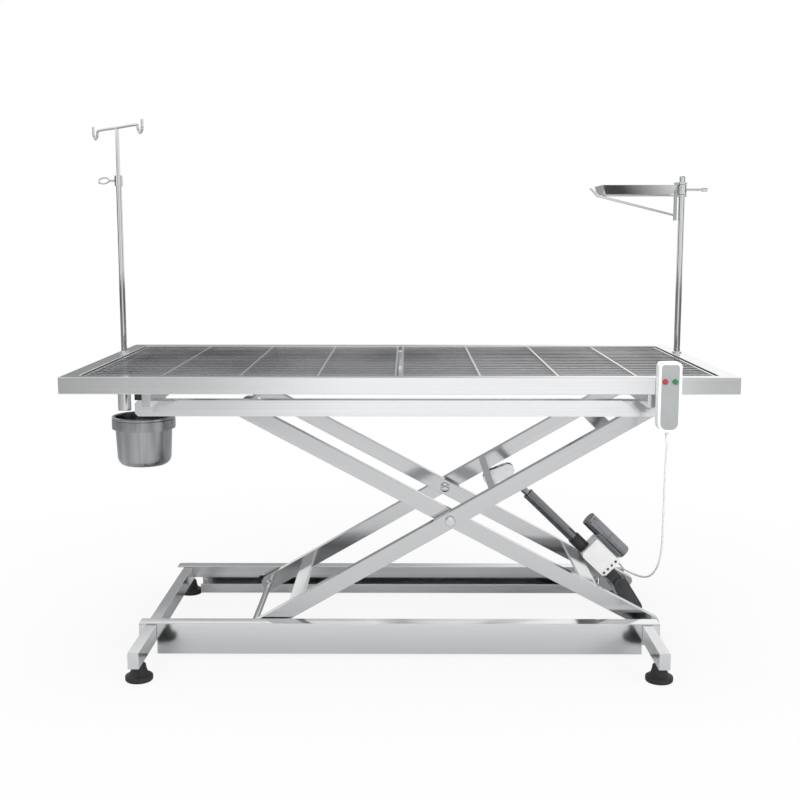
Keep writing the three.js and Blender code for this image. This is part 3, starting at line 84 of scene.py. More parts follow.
def linear(text):
    """An sRGB hex colour as linear RGBA."""
    parts = [int(text[i : i + 2], 16) / 255 for i in (1, 3, 5)]
    return [c / 12.92 if c <= 0.04045 else ((c + 0.055) / 1.055) ** 2.4 for c in parts] + [1.0]


def lay_stops(ramp, stops):
    """Sets the (share, colour) stops of a colour ramp, from its start to its end."""
    marks = ramp.elements
    marks[0].position = stops[0][0]
    marks[0].color = linear(stops[0][1])
    marks[1].position = stops[-1][0]
    marks[1].color = linear(stops[-1][1])
    for share, tone in stops[1:-1]:
        marks.new(share).color = linear(tone)


def add(tree, kind, settings=None, inputs=None):
    """A node of that kind, with its settings and with inputs set or linked."""
    made = tree.nodes.new(kind)
    for name, value in (settings or {}).items():
        if name == "stops":
            lay_stops(made.color_ramp, value)
        else:
            setattr(made, name, value)
    for name, value in (inputs or {}).items():
        if isinstance(value, bpy.types.NodeSocket):
            tree.links.new(value, made.inputs[name])
        else:
            made.inputs[name].default_value = value
    return made


def blank_material(name):
    """A material with its node tree, and in that only the output."""
    material = bpy.data.materials.new(name)
    material.use_nodes = True
    tree = material.node_tree
    tree.nodes.clear()
    output = add(tree, "ShaderNodeOutputMaterial")
    return material, tree, output


MOTTLE_DARK_AT = 0.3
MOTTLE_LIGHT_AT = 0.7
MOTTLES_PER_METRE = 30.0
CLOUD_SIZE = 0.25
CLOUD_LOW = 0.35
CLOUD_HIGH = 0.65
SCRATCH_DEPTH = 0.5 * MM
GRIT_DEPTH = 0.4 * MM
GLOSS_SWING = 0.06


def stainless(name, light, dark, rough_low, rough_high, grain, turn=(0, 0, 0), bump=0.008):
    """Stainless sheet and tube, ground with a belt: fine scratches along the grain and slightly
    uneven gloss, which the eye reads as a soft, streaked mirror. grain is the length of a scratch
    along X, Y and Z in metres. Real scratches are about 0.1 mm wide, and they are drawn 1.5 mm wide
    or more so that they show at this distance."""
    material, tree, output = blank_material(name)
    place = add(tree, "ShaderNodeTexCoord").outputs["Object"]
    turned_place = add(
        tree, "ShaderNodeMapping", {"vector_type": "TEXTURE"}, {"Vector": place, "Rotation": turn}
    )
    stretched = add(
        tree,
        "ShaderNodeMapping",
        inputs={
            "Vector": turned_place.outputs["Vector"],
            "Scale": (1 / grain[0], 1 / grain[1], 1 / grain[2]),
        },
    )
    scratches = add(
        tree,
        "ShaderNodeTexNoise",
        inputs={"Vector": stretched.outputs["Vector"], "Scale": 1.0, "Detail": 3.0, "Roughness": 0.6},
    )
    clouds = add(
        tree,
        "ShaderNodeTexNoise",
        inputs={"Vector": place, "Scale": 1 / CLOUD_SIZE, "Detail": 1.0},
    )
    tone = add(
        tree,
        "ShaderNodeValToRGB",
        {"stops": [(MOTTLE_DARK_AT, dark), (MOTTLE_LIGHT_AT, light)]},
        {"Fac": scratches.outputs["Fac"]},
    )
    gloss = add(
        tree,
        "ShaderNodeMapRange",
        inputs={
            "Value": clouds.outputs["Fac"],
            "From Min": CLOUD_LOW,
            "From Max": CLOUD_HIGH,
            "To Min": rough_low,
            "To Max": rough_high,
        },
    )
    relief = add(
        tree,
        "ShaderNodeBump",
        inputs={"Height": scratches.outputs["Fac"], "Strength": bump, "Distance": SCRATCH_DEPTH},
    )
    shader = add(
        tree,
        "ShaderNodeBsdfPrincipled",
        inputs={
            "Base Color": tone.outputs["Color"],
            "Metallic": 1.0,
            "Roughness": gloss.outputs["Result"],
            "Normal": relief.outputs["Normal"],
        },
    )
    tree.links.new(shader.outputs["BSDF"], output.inputs["Surface"])
    return material


def moulded(name, light, dark, roughness, grit_mm, bump):
    """Moulded plastic, rubber or paint: one colour with faint mottling, and a fine grain that
    breaks up the gloss. grit_mm is the size of that grain."""
    material, tree, output = blank_material(name)
    place = add(tree, "ShaderNodeTexCoord").outputs["Object"]
    mottle = add(
        tree,
        "ShaderNodeTexNoise",
        inputs={"Vector": place, "Scale": MOTTLES_PER_METRE, "Detail": 3.0},
    )
    grit = add(
        tree,
        "ShaderNodeTexNoise",
        inputs={"Vector": place, "Scale": 1 / (grit_mm * MM), "Detail": 2.0},
    )
    tone = add(
        tree,
        "ShaderNodeValToRGB",
        {"stops": [(MOTTLE_DARK_AT, dark), (MOTTLE_LIGHT_AT, light)]},
        {"Fac": mottle.outputs["Fac"]},
    )
    gloss = add(
        tree,
        "ShaderNodeMapRange",
        inputs={
            "Value": grit.outputs["Fac"],
            "To Min": roughness - GLOSS_SWING,
            "To Max": roughness + GLOSS_SWING,
        },
    )
    relief = add(
        tree,
        "ShaderNodeBump",
        inputs={"Height": grit.outputs["Fac"], "Strength": bump, "Distance": GRIT_DEPTH},
    )
    shader = add(
        tree,
        "ShaderNodeBsdfPrincipled",
        inputs={
            "Base Color": tone.outputs["Color"],
            "Metallic": 0.0,
            "Roughness": gloss.outputs["Result"],
            "Normal": relief.outputs["Normal"],
        },
    )
    tree.links.new(shader.outputs["BSDF"], output.inputs["Surface"])
    return material


# Lengths of a scratch along and across the grain, and of a mark with no direction
LONG = 0.8
FINE = 0.0015
EVEN = (0.01, 0.01, 0.01)
# Rails, tubes, plates and arms, each ground along its own length
steel_along_x = stainless(
    "Stainless_Ground_Length", "#f2f3f4", "#ebeced", 0.1, 0.15, (LONG, FINE, FINE)
)
steel_along_y = stainless(
    "Stainless_Ground_Depth", "#e0e1e2", "#d9dadb", 0.1, 0.15, (FINE, LONG, FINE)
)
steel_outer_arm = stainless(
    "Stainless_Ground_Outer_Arm",
    "#d2d3d4",
    "#c9cacb",
    0.1,
    0.15,
    (LONG, FINE, FINE),
    (0, -ARM_TILT, 0),
)
steel_inner_arm = stainless(
    "Stainless_Ground_Inner_Arm",
    "#d2d3d4",
    "#c9cacb",
    0.1,
    0.15,
    (LONG, FINE, FINE),
    (0, INNER_TILT, 0),
)
# Polished poles and fittings, a clear mirror with faint upright streaks
steel_polished = stainless(
    "Stainless_Polished", "#dcddde", "#d5d6d7", 0.05, 0.09, (0.01, 0.01, 0.5), bump=0.004
)
# The spun pail, its ring and the actuator rod, duller and darker. The darker tone is painted shade and
# the upright streaks are painted reflections, standing for the darker, streaked reflections of the pail
steel_spun_painted_shade = stainless(
    "Stainless_Spun_Painted_Shade", "#aeb0b2", "#8c8e90", 0.16, 0.22, (0.014, 0.014, 0.6), bump=0.01
)
# Drawn rods of the grates and the sheet of the pan below them
steel_rods = stainless(
    "Stainless_Drawn_Rod", "#efeff0", "#e6e6e7", 0.12, 0.18, (LONG, FINE, FINE)
)
steel_pan = stainless(
    "Stainless_Pan_Sheet", "#dcddde", "#d3d4d5", 0.1, 0.16, (LONG, 0.006, 0.006)
)
# Smooth dark metal of the actuator, with no relief
steel_tube = stainless("Steel_Tube_Dark_Chrome", "#7c7e82", "#76787c", 0.09, 0.12, EVEN, bump=0.0)
steel_motor = stainless("Steel_Motor_Can", "#8e9093", "#87898c", 0.12, 0.16, EVEN, bump=0.0)
# Satin paint, nylon, rubber, ABS and PVC, with soft highlights over one colour
black_paint = moulded("Black_Paint_Satin", "#454648", "#38393b", 0.38, 0.8, 0.05)
black_nylon = moulded("Black_Nylon_Moulded", "#2a2a2b", "#212122", 0.5, 1.0, 0.08)
black_rubber = moulded("Black_Rubber_Foot", "#2d2d2e", "#222223", 0.62, 1.5, 0.15)
white_abs = moulded("White_ABS_Moulded", "#f8f8f7", "#f2f2f1", 0.36, 0.9, 0.05)
grey_abs = moulded("Grey_ABS_Keypad", "#a8aaab", "#a0a2a3", 0.46, 0.7, 0.08)
red_key = moulded("Red_Key_Plastic", "#c4354a", "#b32a40", 0.34, 0.7, 0.03)
green_key = moulded("Green_Key_Plastic", "#2c8a52", "#237a46", 0.34, 0.7, 0.03)
cord_pvc = moulded("White_PVC_Cord", "#e9e9e7", "#e0e0de", 0.42, 0.6, 0.05)


# Modelling helpers


def clear_selection():
    """Leaves edit mode and deselects everything."""
    active = bpy.context.view_layer.objects.active
    if active is not None and active.mode != "OBJECT":
        bpy.ops.object.mode_set(mode="OBJECT")
    bpy.ops.object.select_all(action="DESELECT")


def take(piece):
    """Makes piece the only selected and active object."""
    clear_selection()
    piece.select_set(True)
    bpy.context.view_layer.objects.active = piece


def soften(piece, width, segments=2, angle=30):
    """Rounds the edges sharper than angle degrees and smooths what lies between them."""
    take(piece)
    rounded = piece.modifiers.new("Edges", "BEVEL")
    rounded.width = width
    rounded.segments = segments
    rounded.limit_method = "ANGLE"
    rounded.angle_limit = math.radians(angle)
    rounded.use_clamp_overlap = True
    bpy.ops.object.modifier_apply(modifier="Edges")
    bpy.ops.object.shade_smooth_by_angle(angle=CRISP_ROUNDED)
    flats = piece.modifiers.new("Flats", "WEIGHTED_NORMAL")
    flats.keep_sharp = True
    bpy.ops.object.modifier_apply(modifier="Flats")


def seat(piece, body, finish, slot, *nodes):
    """Gives the piece its finish and its body, and hides the CAD nodes that it stands for."""
    piece.data.materials.clear()
    piece.data.materials.append(finish)
    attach(piece, body)
    if nodes:
        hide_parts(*nodes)
    return piece


def dress(node, finish, slot, width, segments=2, angle=30):
    """A merged copy of a CAD node with rounded edges."""
    source = frame["nodes"][node]
    piece = source.copy()
    piece.data = source.data.copy()
    piece.name = node + "_skin"
    for key in [k for k in piece.keys() if k.startswith("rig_")]:
        del piece[key]
    piece.parent = None
    piece.matrix_world = Matrix.Identity(4)
    bpy.context.scene.collection.objects.link(piece)
    take(piece)
    bpy.ops.object.mode_set(mode="EDIT")
    bpy.ops.mesh.select_all(action="SELECT")
    bpy.ops.mesh.remove_doubles(threshold=SAME_POINT)
    bpy.ops.mesh.dissolve_limited(angle_limit=SAME_PLANE)
    bpy.ops.object.mode_set(mode="OBJECT")
    soften(piece, width, segments, angle)
    return seat(piece, body_of_node[node], finish, slot, node)


def turned(name, rings, place, toward=(0, 0, 1), sides=48):
    """A piece from the lathe: (radius, height) rings in millimetres, drawn up from a disc and then
    set at place along toward."""
    clear_selection()
    rings = [(r * MM, h * MM) for r, h in rings]
    radius, height = rings[0]
    bpy.ops.mesh.primitive_circle_add(
        vertices=sides, radius=radius, fill_type="NGON", location=(0, 0, 0)
    )
    piece = bpy.context.object
    piece.name = name
    bpy.ops.object.mode_set(mode="EDIT")
    bpy.ops.mesh.select_all(action="SELECT")
    bpy.ops.transform.translate(value=(0, 0, height))
    for next_radius, next_height in rings[1:]:
        bpy.ops.mesh.extrude_region_move(
            TRANSFORM_OT_translate={"value": (0, 0, next_height - height)}
        )
        share = next_radius / radius
        bpy.ops.transform.resize(value=(share, share, 1), center_override=(0, 0, next_height))
        radius = next_radius
        height = next_height
    bpy.ops.mesh.select_all(action="SELECT")
    bpy.ops.mesh.normals_make_consistent(inside=False)
    bpy.ops.object.mode_set(mode="OBJECT")
    piece.rotation_mode = "QUATERNION"
    piece.rotation_quaternion = Vector((0, 0, 1)).rotation_difference(Vector(toward))
    piece.location = place
    bpy.ops.object.transform_apply(location=True, rotation=True, scale=True)
    bpy.ops.object.shade_smooth_by_angle(angle=CRISP_TURNED)
    return piece


def weld(kept, other):
    """Joins other into kept."""
    take(kept)
    other.select_set(True)
    bpy.ops.object.join()


def smooth_route(points, steps):
    """Points along a smooth curve through the given ones, evenly parted within each span."""
    first = [2 * a - b for a, b in zip(points[0], points[1])]
    last = [2 * a - b for a, b in zip(points[-1], points[-2])]
    knots = [Vector(p) for p in [first, *points, last]]
    route = []
    for i in range(1, len(knots) - 2):
        p0, p1, p2, p3 = knots[i - 1 : i + 3]
        t0 = 0.0
        t1 = t0 + math.sqrt((p1 - p0).length)
        t2 = t1 + math.sqrt((p2 - p1).length)
        t3 = t2 + math.sqrt((p3 - p2).length)
        for k in range(steps):
            t = t1 + (t2 - t1) * k / steps
            a1 = p0 * ((t1 - t) / (t1 - t0)) + p1 * ((t - t0) / (t1 - t0))
            a2 = p1 * ((t2 - t) / (t2 - t1)) + p2 * ((t - t1) / (t2 - t1))
            a3 = p2 * ((t3 - t) / (t3 - t2)) + p3 * ((t - t2) / (t3 - t2))
            b1 = a1 * ((t2 - t) / (t2 - t0)) + a2 * ((t - t0) / (t2 - t0))
            b2 = a2 * ((t3 - t) / (t3 - t1)) + a3 * ((t - t1) / (t3 - t1))
            route.append(b1 * ((t2 - t) / (t2 - t1)) + b2 * ((t - t1) / (t2 - t1)))
    route.append(knots[-2])
    return route


def tube(name, route, radius, sides=12):
    """A round tube with closed ends along a route."""
    curve = bpy.data.curves.new(name, "CURVE")
    curve.dimensions = "3D"
    curve.bevel_depth = radius
    curve.bevel_resolution = max(1, sides // 4 - 1)
    curve.use_fill_caps = True
    spline = curve.splines.new("POLY")
    spline.points.add(len(route) - 1)
    for point, at in zip(spline.points, route):
        point.co = (at[0], at[1], at[2], 1)
    piece = bpy.data.objects.new(name, curve)
    bpy.context.scene.collection.objects.link(piece)
    take(piece)
    bpy.ops.object.convert(target="MESH")
    piece = bpy.context.object
    bpy.ops.object.mode_set(mode="EDIT")
    bpy.ops.mesh.select_all(action="SELECT")
    bpy.ops.mesh.remove_doubles(threshold=SAME_POINT)
    bpy.ops.mesh.normals_make_consistent(inside=False)
    bpy.ops.object.mode_set(mode="OBJECT")
    bpy.ops.object.shade_smooth_by_angle(angle=CRISP_TUBE)
    return piece


# Camera, at the photograph's place

CAMERA_LENS_MM = 53.285
CAMERA_SENSOR_MM = 36.0
CAMERA_PLACE = (0.0128 + SIDE_SHIFT, -2.339, 0.8042)
CAMERA_DOWN = math.radians(8.11)
CAMERA_LEFT = math.radians(0.3)
CAMERA_REACH = 60
camera_data = bpy.data.cameras.new("Camera")
camera_data.lens = CAMERA_LENS_MM
camera_data.sensor_width = CAMERA_SENSOR_MM
camera_data.clip_end = CAMERA_REACH
camera = bpy.data.objects.new("Camera", camera_data)
bpy.context.scene.collection.objects.link(camera)
camera.location = CAMERA_PLACE
camera.rotation_euler = (math.pi / 2 - CAMERA_DOWN, 0, CAMERA_LEFT)
bpy.context.scene.camera = camera


# The pendant's cord, in three stretches

CORD_D = 3.6 * MM
CORD_STEPS = 12
CORD_STRAIGHT = 8


def in_row(points):
    """Points in millimetres from the middle of the table top, as places in the frame."""
    return [(x * MM + SIDE_SHIFT, y * MM + DEPTH_SHIFT, z * MM) for x, y, z in points]


cord_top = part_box("pendant_cord_high")[1][2] / MM
high_points = in_row(
    [
        (470.5, -319.1, cord_top),
        (470.5, -319.1, cord_top - CORD_STRAIGHT),
        (470.2, -315, 408),
        (470.6, -311, 381),
        (471.2, -306.5, 352),
    ]
)
low_points = in_row(
    [
        (471.2, -306.5, 351.7),
        (472.4, -300, 312),
        (474, -292, 276),
        (475.4, -282, 243),
        (475.5, -263, 207),
        (474.6, -235, 181),
        (472.5, -185, 155),
        (468.5, -130, 139),
        (462.4, -80, 130),
    ]
)

REAR_PIN_X = 454
REAR_PIN_Z = 88
CORD_ENTRY = 27


def on_actuator(u, n):
    """A point u along the actuator from its rear pin and n above it, in millimetres."""
    x = REAR_PIN_X - u * math.cos(ACTUATOR_TILT) + n * math.sin(ACTUATOR_TILT)
    z = REAR_PIN_Z + u * math.sin(ACTUATOR_TILT) + n * math.cos(ACTUATOR_TILT)
    return x, z


end_x, end_z = on_actuator(37.1, CORD_ENTRY)
mid_x, mid_z = on_actuator(33, CORD_ENTRY)
out_x, out_z = on_actuator(28, CORD_ENTRY)
tail_points = in_row(
    [
        (462.4, -80, 130),
        (457.4, -42, 125),
        (out_x + 3, -18, out_z - 3.5),
        (out_x + 1, -6.5, out_z - 1.5),
        (mid_x, 0, mid_z),
        (end_x, 0, end_z),
    ]
)

HANG_START = (0.47, 0, 0.14)
HANG_END = (0.47, 0, 0.3517)
TAIL_START = (0.46, -0.05, 0.13)
TAIL_END = (0.46, 0.02, 0.13)


def cord_stretch(name, points, body_a, body_b, start, end, *nodes):
    """One stretch of the cord, drawn along its points."""
    route = smooth_route(points, CORD_STEPS)
    piece = tube(name, route, CORD_D / 2)
    piece.data.materials.clear()
    piece.data.materials.append(cord_pvc)
    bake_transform(piece)
    if nodes:
        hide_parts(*nodes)


cord_stretch(
    "cord_by_pendant",
    high_points,
    "top",
    "pendant",
    high_points[-1],
    high_points[0],
    "pendant_cord_high",
)
cord_stretch("cord_hanging", low_points, "base", "cord_rise", HANG_START, HANG_END, "pendant_cord_low")
cord_stretch("cord_by_actuator", tail_points, "base", "barrel", TAIL_START, TAIL_END)


# Base

RAIL_EDGE = 0.9 * MM
TUBE_EDGE = 1.0 * MM
BRACKET_EDGE = 0.6 * MM

for rail_node in ("base_rail_front", "base_rail_back"):
    dress(rail_node, steel_along_x, "steel", RAIL_EDGE)
for tube_node in ("cross_tube_left", "cross_tube_right_front", "cross_tube_right_back"):
    dress(tube_node, steel_along_y, "steel", TUBE_EDGE)
dress("actuator_bracket", black_paint, "dark_metal", BRACKET_EDGE)

STRIP_NEAR = 481
STRIP_FAR = 494
STRIP_FRONT = -207
STRIP_BACK = -204.5
STRIP_FOOT = 10
STRIP_TOP = 66
STRIP_EDGE = 0.6 * MM


def rail_end_strip(name, left, right):
    """Upright strip under the overhang of the front rail's flange, outside a cross tube."""
    low, high = in_row([(left, STRIP_FRONT, STRIP_FOOT), (right, STRIP_BACK, STRIP_TOP)])
    clear_selection()
    bpy.ops.mesh.primitive_cube_add(size=1, location=(Vector(low) + Vector(high)) / 2)
    piece = bpy.context.object
    piece.name = name
    piece.scale = Vector(high) - Vector(low)
    bpy.ops.object.transform_apply(location=True, rotation=True, scale=True)
    soften(piece, STRIP_EDGE)
    return seat(piece, "base", steel_along_x, "steel")


rail_end_strip("rail_end_strip_left", -STRIP_FAR, -STRIP_NEAR)
rail_end_strip("rail_end_strip_right", STRIP_NEAR, STRIP_FAR)

SHAFT_CHAMFER = 0.6


def shaft(name, node):
    """A plain shaft with broken edges, from front to back in the place of a CAD shaft."""
    low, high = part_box(node)
    middle = (low + high) / 2
    radius = min(high[0] - low[0], high[2] - low[2]) / 2 / MM
    length = (high[1] - low[1]) / MM
    rings = [
        (radius - SHAFT_CHAMFER, 0),
        (radius, SHAFT_CHAMFER),
        (radius, length - SHAFT_CHAMFER),
        (radius - SHAFT_CHAMFER, length),
    ]
    piece = turned(name, rings, (middle[0], low[1], middle[2]), (0, 1, 0), 40)
    return seat(piece, body_of_node[node], steel_polished, "steel", node)


shaft("lower_shaft", "base_shaft")
shaft("lower_axle", "axle_low")
shaft("upper_axle", "axle_high")

FOOT_RINGS = [
    (21.0, 0.0),
    (23.4, 0.5),
    (24.6, 1.8),
    (25.0, 3.6),
    (25.0, 8.4),
    (24.6, 9.6),
    (23.6, 10.4),
    (21.4, 11.0),
    (18.6, 12.6),
    (16.6, 15.0),
    (15.0, 18.4),
    (13.8, 22.6),
    (13.0, 27.0),
    (12.6, 29.6),
    (11.8, 30.7),
    (10.8, 31.0),
    (5.0, 31.0),
    (5.0, 47.6),
    (4.5, 48.0),
]


def foot(node):
    """Rubber foot with a flat tread, a waisted body and its stem."""
    low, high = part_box(node)
    middle = (low + high) / 2
    piece = turned(node + "_pad", FOOT_RINGS, (middle[0], middle[1], low[2]), sides=56)
    return seat(piece, body_of_node[node], black_rubber, "rubber", node)


for foot_node in ("foot_front_left", "foot_front_right", "foot_back_left", "foot_back_right"):
    foot(foot_node)


# Scissor

ARM_EDGE = 2.2 * MM
PLATE_EDGE = 0.8 * MM

for arm_node in ("arm_outer_front", "arm_outer_back"):
    dress(arm_node, steel_outer_arm, "steel", ARM_EDGE, 3)
for arm_node in ("arm_inner_front", "arm_inner_back"):
    dress(arm_node, steel_inner_arm, "steel", ARM_EDGE, 3)
for plate_node in ("inner_plate", "outer_plate_low", "outer_plate_high", "outer_plate_clevis"):
    dress(plate_node, steel_along_y, "steel", PLATE_EDGE)


def middle_bolt(node, side):
    """Pivot bolt with a domed round head outside the arms and a round nut inside."""
    low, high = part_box(node)
    middle = (low + high) / 2
    outer = low[1] if side < 0 else high[1]
    inner = high[1] if side < 0 else low[1]
    length = abs(outer - inner) / MM
    rings = [
        (8.6, 0.0),
        (9.6, 0.5),
        (10.0, 1.2),
        (10.0, 4.6),
        (9.4, 6.0),
        (6.0, 6.0),
        (6.0, length - 5.0),
        (9.8, length - 5.0),
        (10.0, length - 4.6),
        (10.0, length - 2.2),
        (9.2, length - 1.0),
        (7.0, length - 0.2),
        (3.0, length),
    ]
    piece = turned(node + "_turned", rings, (middle[0], inner, middle[2]), (0, side, 0), 40)
    return seat(piece, body_of_node[node], steel_polished, "steel", node)


middle_bolt("middle_bolt_front", -1)
middle_bolt("middle_bolt_back", 1)

ARM_INSIDE_Y = 152 * MM
CAP_NUT_RINGS = [
    (7.4, 0),
    (8.0, 0.5),
    (8.0, 3.0),
    (7.4, 3.6),
    (6.6, 5.6),
    (5.0, 7.2),
    (2.6, 8.0),
    (0.8, 8.1),
]


def axle_end(name, side):
    """Domed cap nut on the lower axle, against the inner side of an outer arm."""
    place = (ROLL_X, DEPTH_SHIFT + side * ARM_INSIDE_Y, BASE_AXIS_Z)
    piece = turned(name, CAP_NUT_RINGS, place, (0, -side, 0), 36)
    return seat(piece, "outer", steel_polished, "steel")


axle_end("axle_nut_front", -1)
axle_end("axle_nut_back", 1)

ROLLER_HUB = 7.5
ROLLER_RECESS = 1.2
ROLLER_EDGE = 1.5
ROLLER_CROWN = 0.2
# Shares of the radius at which the recessed web ends and the tread begins
ROLLER_WEB = 0.72
ROLLER_TREAD = 0.78


def roller(node):
    """Nylon roller with a crowned tread and a recessed web."""
    low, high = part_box(node)
    middle = (low + high) / 2
    radius = (high[0] - low[0]) / 2 / MM
    width = (high[1] - low[1]) / MM
    rings = [
        (ROLLER_HUB, ROLLER_RECESS),
        (radius * ROLLER_WEB, ROLLER_RECESS),
        (radius * ROLLER_TREAD, 0),
        (radius - ROLLER_EDGE, 0),
        (radius - ROLLER_CROWN, ROLLER_EDGE),
        (radius, width / 2),
        (radius - ROLLER_CROWN, width - ROLLER_EDGE),
        (radius - ROLLER_EDGE, width),
        (radius * ROLLER_TREAD, width),
        (radius * ROLLER_WEB, width - ROLLER_RECESS),
        (ROLLER_HUB, width - ROLLER_RECESS),
    ]
    piece = turned(node + "_turned", rings, (middle[0], low[1], middle[2]), (0, 1, 0))
    return seat(piece, body_of_node[node], black_nylon, "dark_plastic", node)


for roller_node in ("roller_low_front", "roller_low_back", "roller_high_front", "roller_high_back"):
    roller(roller_node)


# Actuator

ALONG = Vector((-math.cos(ACTUATOR_TILT), 0, math.sin(ACTUATOR_TILT)))
TUBE_START = 96
SLEEVE_START = 105.05
MOTOR_START = 38
MOTOR_ABOVE = 49
HOUSING_FRONT = -23.0
SCREW_ALONG = 45
SCREWS_ABOVE = (-7, 4, 15, 26)
HOUSING_EDGE = 5.0 * MM
EYE_EDGE = 1.0 * MM
ROD_EDGE = 0.5 * MM


def actuator_point(u, n, y=0.0):
    """The place in the frame of a point on the actuator given in millimetres."""
    x, z = on_actuator(u, n)
    return Vector((x * MM + SIDE_SHIFT, DEPTH_SHIFT + y * MM, z * MM))


dress("gear_housing", white_abs, "white_plastic", HOUSING_EDGE, 5)
dress("rear_eye", black_paint, "dark_metal", EYE_EDGE)

tube_rings = [
    (10.4, 0),
    (11, 0.6),
    (11, 168.0),
    (11.6, 168.4),
    (11.6, 172.4),
    (11.0, 173),
    (8.0, 173),
    (7.6, 160),
]
outer_tube = turned("spindle_tube", tube_rings, actuator_point(TUBE_START, 0), ALONG)
seat(outer_tube, "barrel", steel_tube, "steel", "actuator_tube")

sleeve_rings = [
    (11.2, 0),
    (13.0, 0.6),
    (13.0, 5),
    (12.4, 5.6),
    (12.4, 8.0),
    (13.0, 8.6),
    (13.0, 31.4),
    (12.2, 32.9),
    (11.2, 32.9),
]
sleeve = turned("spindle_sleeve", sleeve_rings, actuator_point(SLEEVE_START, 0), ALONG)
seat(sleeve, "barrel", black_nylon, "dark_plastic", "tube_sleeve")

motor_rings = [
    (9.0, 0),
    (12.4, 0),
    (13.0, 0.6),
    (13.0, 2.4),
    (14.4, 2.6),
    (15.0, 3.4),
    (15.0, 48.2),
    (14.2, 49.0),
    (14.2, 51.0),
    (15.0, 51.8),
    (15.0, 96.0),
    (14.6, 97.0),
    (14.6, 98.0),
    (15.0, 99.0),
    (15.0, 104.4),
    (14.0, 105.8),
    (12.6, 106),
    (4.0, 106),
]
motor = turned("motor_body", motor_rings, actuator_point(MOTOR_START, MOTOR_ABOVE), ALONG, 56)
seat(motor, "barrel", steel_motor, "dark_metal", "motor_can")


def housing_screw(index, above):
    """Small pan-head screw on the housing's front side."""
    rings = [(2.6, 0), (2.6, 0.5), (2.2, 1.0), (1.2, 1.25), (0.4, 1.25)]
    place = actuator_point(SCREW_ALONG, above, HOUSING_FRONT)
    piece = turned("housing_screw_" + str(index), rings, place, (0, -1, 0), 24)
    return seat(piece, "barrel", black_paint, "dark_metal")


for screw_index, screw_above in enumerate(SCREWS_ABOVE):
    housing_screw(screw_index, screw_above)

dress("actuator_rod", steel_spun_painted_shade, "steel", ROD_EDGE)


# Top

RIM_EDGE = 1.2 * MM
SHEET_EDGE = 0.5 * MM
GRATE_EDGE = 1.9 * MM

dress("top_frame", steel_along_x, "steel", RIM_EDGE, 3)
dress("drain_pan", steel_pan, "steel", SHEET_EDGE)
for grate_node in ("grate_left", "grate_right"):
    dress(grate_node, steel_rods, "steel", GRATE_EDGE, 3)
for beam_node in ("cross_beam_left", "cross_beam_right"):
    dress(beam_node, steel_along_y, "steel", PLATE_EDGE)
for rail_node in ("upper_rail_front", "upper_rail_back"):
    dress(rail_node, steel_along_x, "steel", RAIL_EDGE)
for block_node in ("rail_block_front", "rail_block_back"):
    dress(block_node, black_nylon, "dark_plastic", PLATE_EDGE)


# Small wire hook under the front rim, beside the pendant

HOOK_STEPS = 8
CORD_HOOK_R = 1.6 * MM
hook_wire = in_row(
    [
        (441.5, -282, 519.9),
        (441.8, -282.5, 508),
        (444.5, -284, 500),
        (450, -286, 497),
        (456, -288, 499),
        (460, -289, 505),
    ]
)
wire = tube("cord_hook", smooth_route(hook_wire, HOOK_STEPS), CORD_HOOK_R)
seat(wire, "top", steel_polished, "steel")


# Pail and ring

dress("pail_ring", steel_spun_painted_shade, "steel", SHEET_EDGE)
pail_low, pail_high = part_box("pail")
PAIL_RINGS = [
    (28.0, 0.0),
    (36.0, 0.2),
    (41.0, 1.2),
    (45.4, 3.8),
    (48.4, 7.6),
    (50.2, 11.6),
    (51.2, 16.0),
    (52.6, 46.0),
    (54.6, 88.6),
    (55.6, 90.0),
    (58.6, 90.0),
    (60.0, 90.8),
    (60.5, 92.4),
    (60.3, 94.6),
    (59.2, 95.7),
    (57.6, 96.0),
    (54.8, 95.6),
    (53.6, 94.0),
    (53.3, 88.6),
    (51.2, 46.0),
    (49.7, 16.4),
    (48.6, 12.2),
    (46.8, 8.4),
    (44.2, 5.2),
    (40.2, 2.8),
    (35.4, 1.8),
    (28.0, 1.6),
]
pail_middle = (pail_low + pail_high) / 2
pail = turned("pail_spun", PAIL_RINGS, (pail_middle[0], pail_middle[1], pail_low[2]), sides=72)
seat(pail, "pail_body", steel_spun_painted_shade, "steel", "pail")


# Drip pole

iv_low, iv_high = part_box("iv_tube")
IV_X = (iv_low[0] + iv_high[0]) / 2
POLE_Y = (iv_low[1] + iv_high[1]) / 2
iv_rings = [
    (9.5, 0.0),
    (9.5, 2.2),
    (8.6, 3.0),
    (6.0, 3.0),
    (6.0, 347.0),
    (8.4, 347.0),
    (9.0, 347.6),
    (9.0, 368.4),
    (8.4, 369.0),
    (4.6, 369.0),
    (4.4, 320.0),
]
iv_pole = turned("drip_pole", iv_rings, (IV_X, POLE_Y, iv_low[2]))
seat(iv_pole, "top", steel_polished, "steel", "iv_tube")

RING_R = 10.6 * MM
RING_WIRE = 1.8 * MM
RING_LEAN = math.radians(36)
RING_STEPS = 48
screw_low, screw_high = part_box("iv_thumbscrew")
screw_z = (screw_low[2] + screw_high[2]) / 2
ring_x = screw_low[0] + RING_R + RING_WIRE
ring_turns = [2 * math.pi * step / RING_STEPS for step in range(RING_STEPS + 1)]
ring_route = [
    (
        ring_x + RING_R * math.cos(turn),
        POLE_Y + RING_R * math.sin(turn) * math.cos(RING_LEAN),
        screw_z + RING_R * math.sin(turn) * math.sin(RING_LEAN),
    )
    for turn in ring_turns
]
ring = tube("screw_ring", ring_route, RING_WIRE, 16)
stem_start = ring_x + RING_R - RING_WIRE / 2
stem_length = (screw_high[0] - stem_start) / MM
stem_rings = [(2.0, 0), (2.5, 0.6), (2.5, 4.0), (2.5, stem_length)]
screw = turned("ring_screw", stem_rings, (stem_start, POLE_Y, screw_z), (1, 0, 0), 32)
weld(screw, ring)
